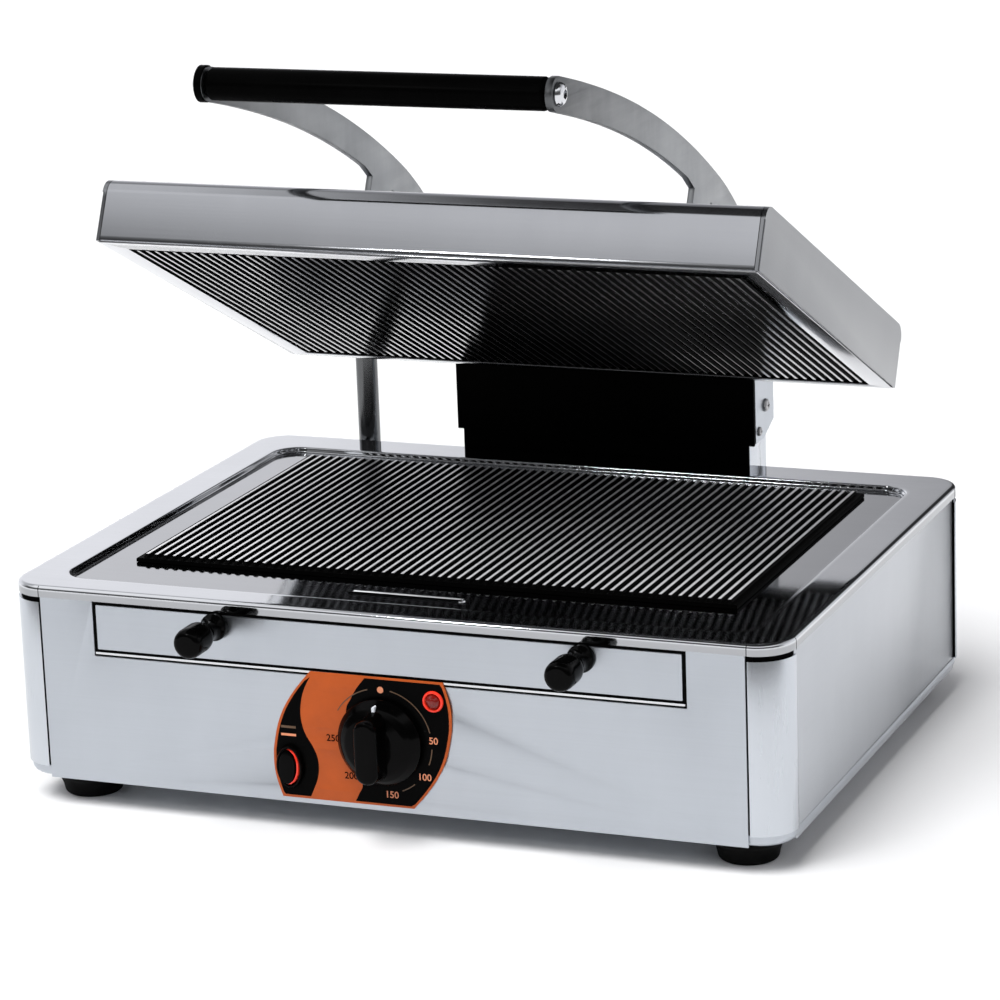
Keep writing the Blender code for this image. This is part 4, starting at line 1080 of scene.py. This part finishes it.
def tower():
    low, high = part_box("tower_channel")
    inner = high.x - 0.0015
    section = [(-high.x, high.y), (-high.x, low.y), (high.x, low.y), (high.x, high.y)]
    section += [(inner, high.y), (inner, low.y + 0.0015), (-inner, low.y + 0.0015), (-inner, high.y)]
    channel = plate("tower_column", [fillet(section, 0.0014, True)], low.z, high.z, POST, "Z")
    bore = [circle((HINGE.y, HINGE.z), 0.0064)]
    cut(channel, plate("bore", bore, -0.12, 0.12, POST, "X"))
    show(channel, "satin_steel", "tower_channel", bevel=0.0002)
    low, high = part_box("tower_front_cover")
    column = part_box("tower_channel")[1].x
    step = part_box("hinge_bracket")[0].z - 0.001
    face = [(-column, low.z), (column, low.z), (column, step), (high.x, step)]
    face += [(high.x, high.z), (low.x, high.z), (low.x, step), (-column, step)]
    cover = plate("tower_face", [face], low.y, high.y, BLACK_PAINT, "Y")
    show(cover, "black_paint", "tower_front_cover", bevel=0.0004)
    low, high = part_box("tower_rear_cover")
    cover = block("tower_back", low, high, PANEL)
    show(cover, "satin_steel", "tower_rear_cover", bevel=0.0004)
    for x in (-0.08, 0.08):
        for z in (low.z + 0.014, high.z - 0.02):
            name = "back_screw_%s_%s" % ("left" if x < 0 else "right", "low" if z < 0.1 else "high")
            screw_head(name, (x, high.y, z), REARWARD, 0.0036)


CHEEK_SCREWS = ((0.2019, 0.1651), (0.1892, 0.1511))


def cheek_screws():
    main, low = CHEEK_SCREWS
    for side, sign in (("right", 1), ("left", -1)):
        x = sign * (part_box("hinge_bracket")[1].x + NUDGE)
        screw_head("cheek_screw_" + side, (x, *main), (sign, 0, 0), 0.0042, "bracket_screw_" + side)
        screw_head("cheek_screw_low_" + side, (x, *low), (sign, 0, 0), 0.003)


def rear_details():
    for level, z in (("lower", 0.03), ("upper", 0.116)):
        for side, x in (("left", -0.205), ("right", 0.205)):
            screw_head("wall_screw_%s_%s" % (level, side), (x, BACK, z), REARWARD, 0.0038)
    outlines = [circle(GLAND_AT, 0.0128, 6), circle(GLAND_AT, 0.0082)]
    nut = plate("gland_nut", outlines, BACK + 0.0003, BACK + 0.0062, BAKELITE, "Y")
    show(nut, "bakelite", bevel=0.0006)
    body = [(0.0045, -0.006), (0.008, -0.006), (0.008, 0.006), (0.01, 0.0064), (0.01, 0.01)]
    body += [(0.0092, 0.015), (0.0078, 0.016), (0.0048, 0.016)]
    at = (GLAND_AT[0], BACK, GLAND_AT[1])
    gland = turned("gland_body", fillet(body, 0.0006, True), at, REARWARD, BAKELITE, loop=True)
    show(gland, "bakelite", "mains_cable_gland")


conduit_low, conduit_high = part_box("conduit_tube")
CONDUIT_AT = ((conduit_low.x + conduit_high.x) / 2, (conduit_low.y + conduit_high.y) / 2)


def conduit():
    """The tube behind the housing and the block it stands in."""
    radius = (conduit_high.x - conduit_low.x) / 2
    low, high = conduit_low.z, conduit_high.z
    wall = [(radius - 0.0015, low), (radius, low), (radius, high), (radius - 0.0015, high)]
    at = (*CONDUIT_AT, 0)
    tube = turned("conduit_pipe", fillet(wall, 0.0006, True), at, UP, CONDUIT_SHADED_LOOK, loop=True)
    show(tube, "satin_steel", "conduit_tube")
    low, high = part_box("conduit_entry_block")
    entry = block("conduit_block", low, high, BAKELITE)
    show(entry, "bakelite", "conduit_entry_block", bevel=0.0022)
    outlines = [circle(CONDUIT_AT, 0.0108, 6), circle(CONDUIT_AT, 0.0072)]
    nut = plate("conduit_nut", outlines, high.z + 0.0004, high.z + 0.0064, ZINC, "Z")
    show(nut, "zinc_steel", bevel=0.0005)
    for side, x in (("left", -0.0115), ("right", 0.0115)):
        screw_head("block_screw_" + side, (CONDUIT_AT[0] + x, high.y, low.z + 0.006), REARWARD, 0.0024)


def braided(name, node, core_points, radius):
    """A braided sleeve: strands wound both ways round a core."""
    route = smooth_line(core_points, 10)
    strands = []
    count = 7
    pitch = 0.013
    side = (route[1] - route[0]).orthogonal().normalized()
    frames = []
    travelled = 0.0
    for i, point in enumerate(route):
        step = (route[min(i + 1, len(route) - 1)] - route[max(i - 1, 0)]).normalized()
        side = (side - step * side.dot(step)).normalized()
        if i:
            travelled += (point - route[i - 1]).length
        frames.append((point, side, step.cross(side), travelled))
    for hand in (-1, 1):
        for strand in range(count):
            path = []
            for point, one, two, along in frames:
                turn = hand * 2 * math.pi * along / pitch + 2 * math.pi * strand / count
                weave = radius * (1 + 0.05 * hand * math.cos(2 * turn * count / 2))
                path.append(point + (one * math.cos(turn) + two * math.sin(turn)) * weave)
            strands.append(path)
    core = wires(name + "_core", [route], radius * 0.93, SHADOW_GAP, 16)
    show(core, "braided_sleeve", node)
    cover = wires(name, strands, radius * 0.26, BRAID, 6)
    show(cover, "braided_sleeve")


# Yoke


handle_low, handle_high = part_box("handle_grip")
HANDLE = (handle_low + handle_high) / 2
ARM_HALF = 0.0097
KNEE = Vector((0.1045, 0.32))
SHANK_X = 0.093
SHANK_R = 0.0038


def arm_outline():
    handle = Vector((HANDLE.y, HANDLE.z))
    hinge = Vector((HINGE.y, HINGE.z))
    out, back = handle + Vector((0.085, -0.0204)), KNEE + Vector((-0.085, 0.0527))
    first = interpolate_bezier(handle, out, back, KNEE, 40)
    out, back = KNEE + Vector((0.042, -0.026)), hinge + Vector((-0.008, 0.047))
    second = interpolate_bezier(KNEE, out, back, hinge, 28)
    middle = [Vector((p[0], p[1])) for p in first[:-1] + second]
    upper = []
    lower = []
    for index, point in enumerate(middle[:-1]):
        step = middle[index + 1] - middle[max(index - 1, 0)]
        normal = Vector((-step.y, step.x)).normalized()
        upper.append(point + normal * ARM_HALF)
        lower.append(point - normal * ARM_HALF)
    pivot = Vector((PIVOT.y, PIVOT.z))
    before = [p for p in lower if p.x < pivot.x - 0.003]
    after = [p for p in lower if p.x > pivot.x + 0.034]
    boss = arc(hinge, 0.0125, 30, -150, 18)
    lug = arc(pivot, 0.01, -20, -190, 18)
    nose = arc(handle, ARM_HALF, -108, -252, 16)
    outline = [tuple(p) for p in upper] + boss + [tuple(p) for p in reversed(after)] + lug
    outline += [(pivot.x + 0.0052, 0.3265), (pivot.x + 0.0064, 0.3292)]
    return outline + [tuple(p) for p in reversed(before[1:])] + nose


def yoke():
    holes = [circle((HANDLE.y, HANDLE.z), 0.0034), circle((PIVOT.y, PIVOT.z), 0.0042)]
    for side in ("right", "left"):
        low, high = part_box("arm_" + side)
        bar = plate("yoke_arm_" + side, [arm_outline()] + holes, low.x, high.x, ARM, "X")
        show(bar, "satin_steel", "arm_" + side, bevel=0.0005, body="yoke")
    reach = handle_high.x
    radius = (handle_high.z - handle_low.z) / 2
    wall = [(0.0052, -reach), (radius - 0.0024, -reach), (radius, -reach + 0.0026), (radius, reach - 0.0026)]
    wall += [(radius - 0.0024, reach), (0.0052, reach)]
    grip = turned("grip_sleeve", fillet(wall, 0.0008, True), HANDLE, (1, 0, 0), GRIP, 64, loop=True)
    show(grip, "bakelite", "handle_grip", body="yoke")
    left_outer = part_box("arm_left")[0].x
    band = [(0.00985, -0.004), (0.01035, -0.0035), (0.01035, 0.0003), (0.00975, 0.0005)]
    band += [(0.0035, 0.0005), (0.0035, 0.0001), (0.00985, 0.0001)]
    at = (left_outer - 0.0003, HANDLE.y, HANDLE.z)
    cap = turned("grip_end_cap", band, at, (-1, 0, 0), GRIP, 48, loop=True)
    show(cap, "bakelite", body="yoke")
    for side, sign in (("right", 1), ("left", -1)):
        axis = (sign, 0, 0)
        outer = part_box("arm_" + side)[sign > 0].x
        face_x = outer + sign * NUDGE
        screw_head(
            "grip_screw_" + side, Vector((face_x, HANDLE.y, HANDLE.z)), axis, 0.0068,
            "handle_screw_" + side, body="yoke", look=BRIGHT, slot="polished_steel", sides=6,
        )
        screw_head(
            "pivot_bolt_" + side, Vector((face_x, PIVOT.y, PIVOT.z)), axis, 0.0068,
            "lid_pivot_pin_" + side, body="yoke", sides=6,
        )
        length = abs(outer) - SHANK_X
        rod = [(0.0, 0.0), (SHANK_R, 0.0), (SHANK_R, length), (0.0, length)]
        shank = turned("pivot_shank_" + side, rod, (sign * SHANK_X, PIVOT.y, PIVOT.z), axis, ZINC, 32)
        show(shank, "zinc_steel", body="yoke")


# Lid


LID_TOP = -0.012
LID_LOW = LID_TOP - 0.038
LID_FRONT = -0.16
LID_REAR = 0.2856 + LID_FRONT
LID_X = 0.2009
LID_BEND = 0.0092
UPPER_X = 0.1863
UPPER_Y = (0.016 + LID_FRONT, 0.276 + LID_FRONT)


def lid_profile(inset=0.0):
    """The lid's outline from the side, closed along its underside."""
    front = LID_FRONT + inset
    rear = LID_REAR - inset
    top = LID_TOP - inset
    bend = LID_BEND - inset
    points = [(front, LID_LOW)]
    points += arc((front + bend, top - bend), bend, 180, 90, 10)
    points += arc((rear - bend, top - bend), bend, 90, 0, 10)
    return points + [(rear, LID_LOW)]


def lid():
    wrap = 0.0026
    slit = 0.0004
    reach = LID_X - wrap - slit
    hem = 0.0011
    fold = ((0.0045, 0.0), (hem, 0.0), (0.0003, 0.0003), (0.0, hem), (0.0, 0.003))
    profile = [(LID_FRONT + inward, LID_LOW + rise) for inward, rise in fold]
    profile += lid_profile()[1:-1]
    profile += [(LID_REAR - inward, LID_LOW + rise) for inward, rise in reversed(fold)]
    rows = [[(x, y, z) for y, z in profile] for x in (-reach, reach)]
    cover = loft("lid_sheet", rows, LID_LOOK, TO_LID, closed=False)
    show(cover, "satin_steel", "lid_cover", thickness=SHEET, body="lid")
    for side, sign in (("right", 1), ("left", -1)):
        corner = 0.0013
        plan = [(LID_X - wrap, LID_FRONT), (LID_X - corner, LID_FRONT)]
        plan += arc((LID_X - corner, LID_FRONT + corner), corner, -90, 0, 5)
        plan += arc((LID_X - corner, LID_REAR - corner), corner, 0, 90, 5)
        plan += [(LID_X - wrap, LID_REAR), (LID_X - wrap, LID_REAR - SHEET)]
        plan += [(LID_X - SHEET, LID_REAR - SHEET), (LID_X - SHEET, LID_FRONT + SHEET)]
        plan.append((LID_X - wrap, LID_FRONT + SHEET))
        plan = [(sign * x, y) for x, y in plan]
        wall = plate("lid_side_" + side, [plan], LID_LOW, LID_TOP, LID_SIDE_SHADED_LOOK, "Z", TO_LID)
        cut(wall, plate("keep", [lid_profile()], -0.25, 0.25, LID_SIDE_SHADED_LOOK, "X", TO_LID), "INTERSECT")
        edge = [lid_profile()[1:-1] + lid_profile(0.0012)[1:-1][::-1]]
        low_x, high_x = sorted((sign * (LID_X - wrap), sign * LID_X))
        top = plate("lid_top_edge", edge, low_x, high_x, LID_SIDE_SHADED_LOOK, "X", TO_LID)
        cut(wall, top, "UNION")
        show(wall, "satin_steel", bevel=0.0003, body="lid")
    outer = rounded_rectangle(LID_X - SHEET - 0.0003, LID_FRONT + 0.0016, LID_REAR - 0.0016, 0.001, 3)
    inner = rounded_rectangle(UPPER_X + 0.0006, UPPER_Y[0] - 0.0006, UPPER_Y[1] + 0.0006, 0.001, 3)
    low, high = LID_LOW - 0.0008, LID_LOW + 0.0004
    flange = plate("underside_flange", [outer, inner], low, high, BRIGHT, "Z", TO_LID)
    show(flange, "polished_steel", "lid_frame", bevel=0.0003, body="lid")
    tip = LID_LOW - 0.0005
    # Darker rib tips on the upper plate, the same iron as the lower plate's: painted shade on the plate that faces
    # down.
    iron = cast_iron("cast_iron_upper", tip + RIB_H, tip)
    low = Vector((-UPPER_X, UPPER_Y[0], tip))
    high = Vector((UPPER_X, UPPER_Y[1], tip + 0.01))
    cast_plate("ribbed_plate_upper", "upper_plate", iron, low, high, high.z, tip, "lid", TO_LID)


LEAD_R = 0.0033
LEAD_MIDDLE = Vector((-0.1094, 0.187, 0.236))
LEAD_GLAND_X = -0.128


def leads():
    start = Vector((*CONDUIT_AT, conduit_high.z - 0.01))
    knots = [start, start + Vector((0, 0, 0.016)), start + Vector((0.0065, 0.0005, 0.037))]
    knots += [start + Vector((0.026, 0, 0.051)), LEAD_MIDDLE + Vector((-0.005, 0, 0.001))]
    braided("lead_braid_lower", "lead_sleeve_lower", knots, LEAD_R)
    out = TO_LID @ Vector((0.0, LID_REAR, LID_LOW + 0.019))
    gland = Vector((LEAD_GLAND_X, out.y, out.z))
    back = (TO_LID.to_3x3() @ Vector((0, 1, 0))).normalized()
    knots = [gland + back * 0.0114, gland + back * 0.018, gland + Vector((0.004, 0.028, 0.004))]
    knots += [LEAD_MIDDLE + Vector((-0.006, 0.01, -0.012))]
    braided("lead_braid_upper", "lead_sleeve_upper", knots, LEAD_R)


# Studio


def studio():
    bm = bmesh.new()
    bmesh.ops.create_grid(bm, x_segments=1, y_segments=1, size=14.0)
    look = Look("studio_floor", 0.0, 0.75, Specular_IOR_Level=0.1)
    cloud = look.noise((1.2, 1.2, 1.2), 2.0)
    look.feed("Base Color", look.ramp(cloud, (0.3, (0.86, 0.86, 0.865)), (0.7, (0.88, 0.88, 0.885))))
    linked("studio_floor", bm, look.material)
    world = bpy.data.worlds.new("studio")
    bpy.context.scene.world = world
    world.use_nodes = True
    nodes = Nodes(world.node_tree)
    direction = nodes.add("TexCoord").outputs["Generated"]

    def sky(value, *stops):
        """Slightly blue greys along a direction."""
        return nodes.ramp(value, *((at, (grey, grey, min(1.0, grey * 1.02))) for at, grey in stops))

    up = nodes.share(direction, "Z", 0.0, 1.0)
    across = nodes.share(direction, "X", -0.5, 0.5)
    depth = nodes.share(direction, "Y", -0.25, 0.25)
    toward = sky(up, (0.0, 0.16), (0.2, 0.06), (0.42, 0.12), (0.55, 0.32), (0.64, 0.96), (1.0, 0.96))
    behind = sky(up, (0.0, 0.95), (0.3, 0.9), (0.5, 0.6), (0.75, 0.4), (1.0, 0.42))
    sideways = sky(
        across, (0.0, 0.95), (0.08, 0.9), (0.22, 0.48), (0.33, 0.04), (0.74, 0.03), (0.86, 0.7), (1.0, 0.85)
    )
    low_sky = nodes.mix(depth, toward, nodes.mix(1.0, behind, sideways, "MULTIPLY"))
    overhead = sky(across, (0.0, 0.96), (0.06, 0.9), (0.13, 0.03), (1.0, 0.03))
    mask = sky(up, (0.0, 0.0), (0.77, 0.0), (0.81, 1.0), (1.0, 1.0))
    background = nodes.tree.nodes["Background"].inputs
    nodes.put(background["Color"], nodes.mix(mask, low_sky, overhead))
    background["Strength"].default_value = 1.2
    sun = light("overhead", "SUN", (-0.16, -0.42, 1.0), Vector((0.0, 0.0, 0.0)), 3.0)
    sun.data.angle = math.radians(36.0)
    sun.visible_glossy = False
    glint = light("glint", "AREA", (-0.7, -1.7, 1.25), Vector((0.0, 0.0, 0.15)), 2.5)
    glint.data.size = 0.16
    glint.location = (-0.7, -1.7, 1.25)
    view = bpy.context.scene.view_settings
    view.view_transform = "Standard"
    view.exposure = 0.0


def light(name, kind, start, target, power):
    """A light that shines from start towards target."""
    data = bpy.data.lights.new(name, kind)
    data.energy = power
    made = bpy.data.objects.new(name, data)
    made.rotation_euler = (target - Vector(start)).to_track_quat("-Z", "Y").to_euler()
    bpy.context.scene.collection.objects.link(made)
    return made


LENS = 142.668
CAMERA_AT = (0.86336, -2.09635, 0.76593)
CAMERA_TURN = (74.792, 2.0485, 21.802)


def camera():
    data = bpy.data.cameras.new("camera")
    data.lens = LENS
    data.sensor_width = 36.0
    data.clip_end = 60.0
    view = bpy.data.objects.new("camera", data)
    view.location = CAMERA_AT
    view.rotation_euler = [math.radians(turn) for turn in CAMERA_TURN]
    bpy.context.scene.collection.objects.link(view)
    bpy.context.scene.camera = view


STEPS = (
    camera, deck, lip_seams, corner_gap_shading, walls, corner_posts, base_pan, feet, plates, drawer, fascia,
    dial, switch, lamp, tower, cheek_screws, rear_details, conduit, leads, yoke, lid, carry_over, studio,
)
for step in STEPS:
    step()
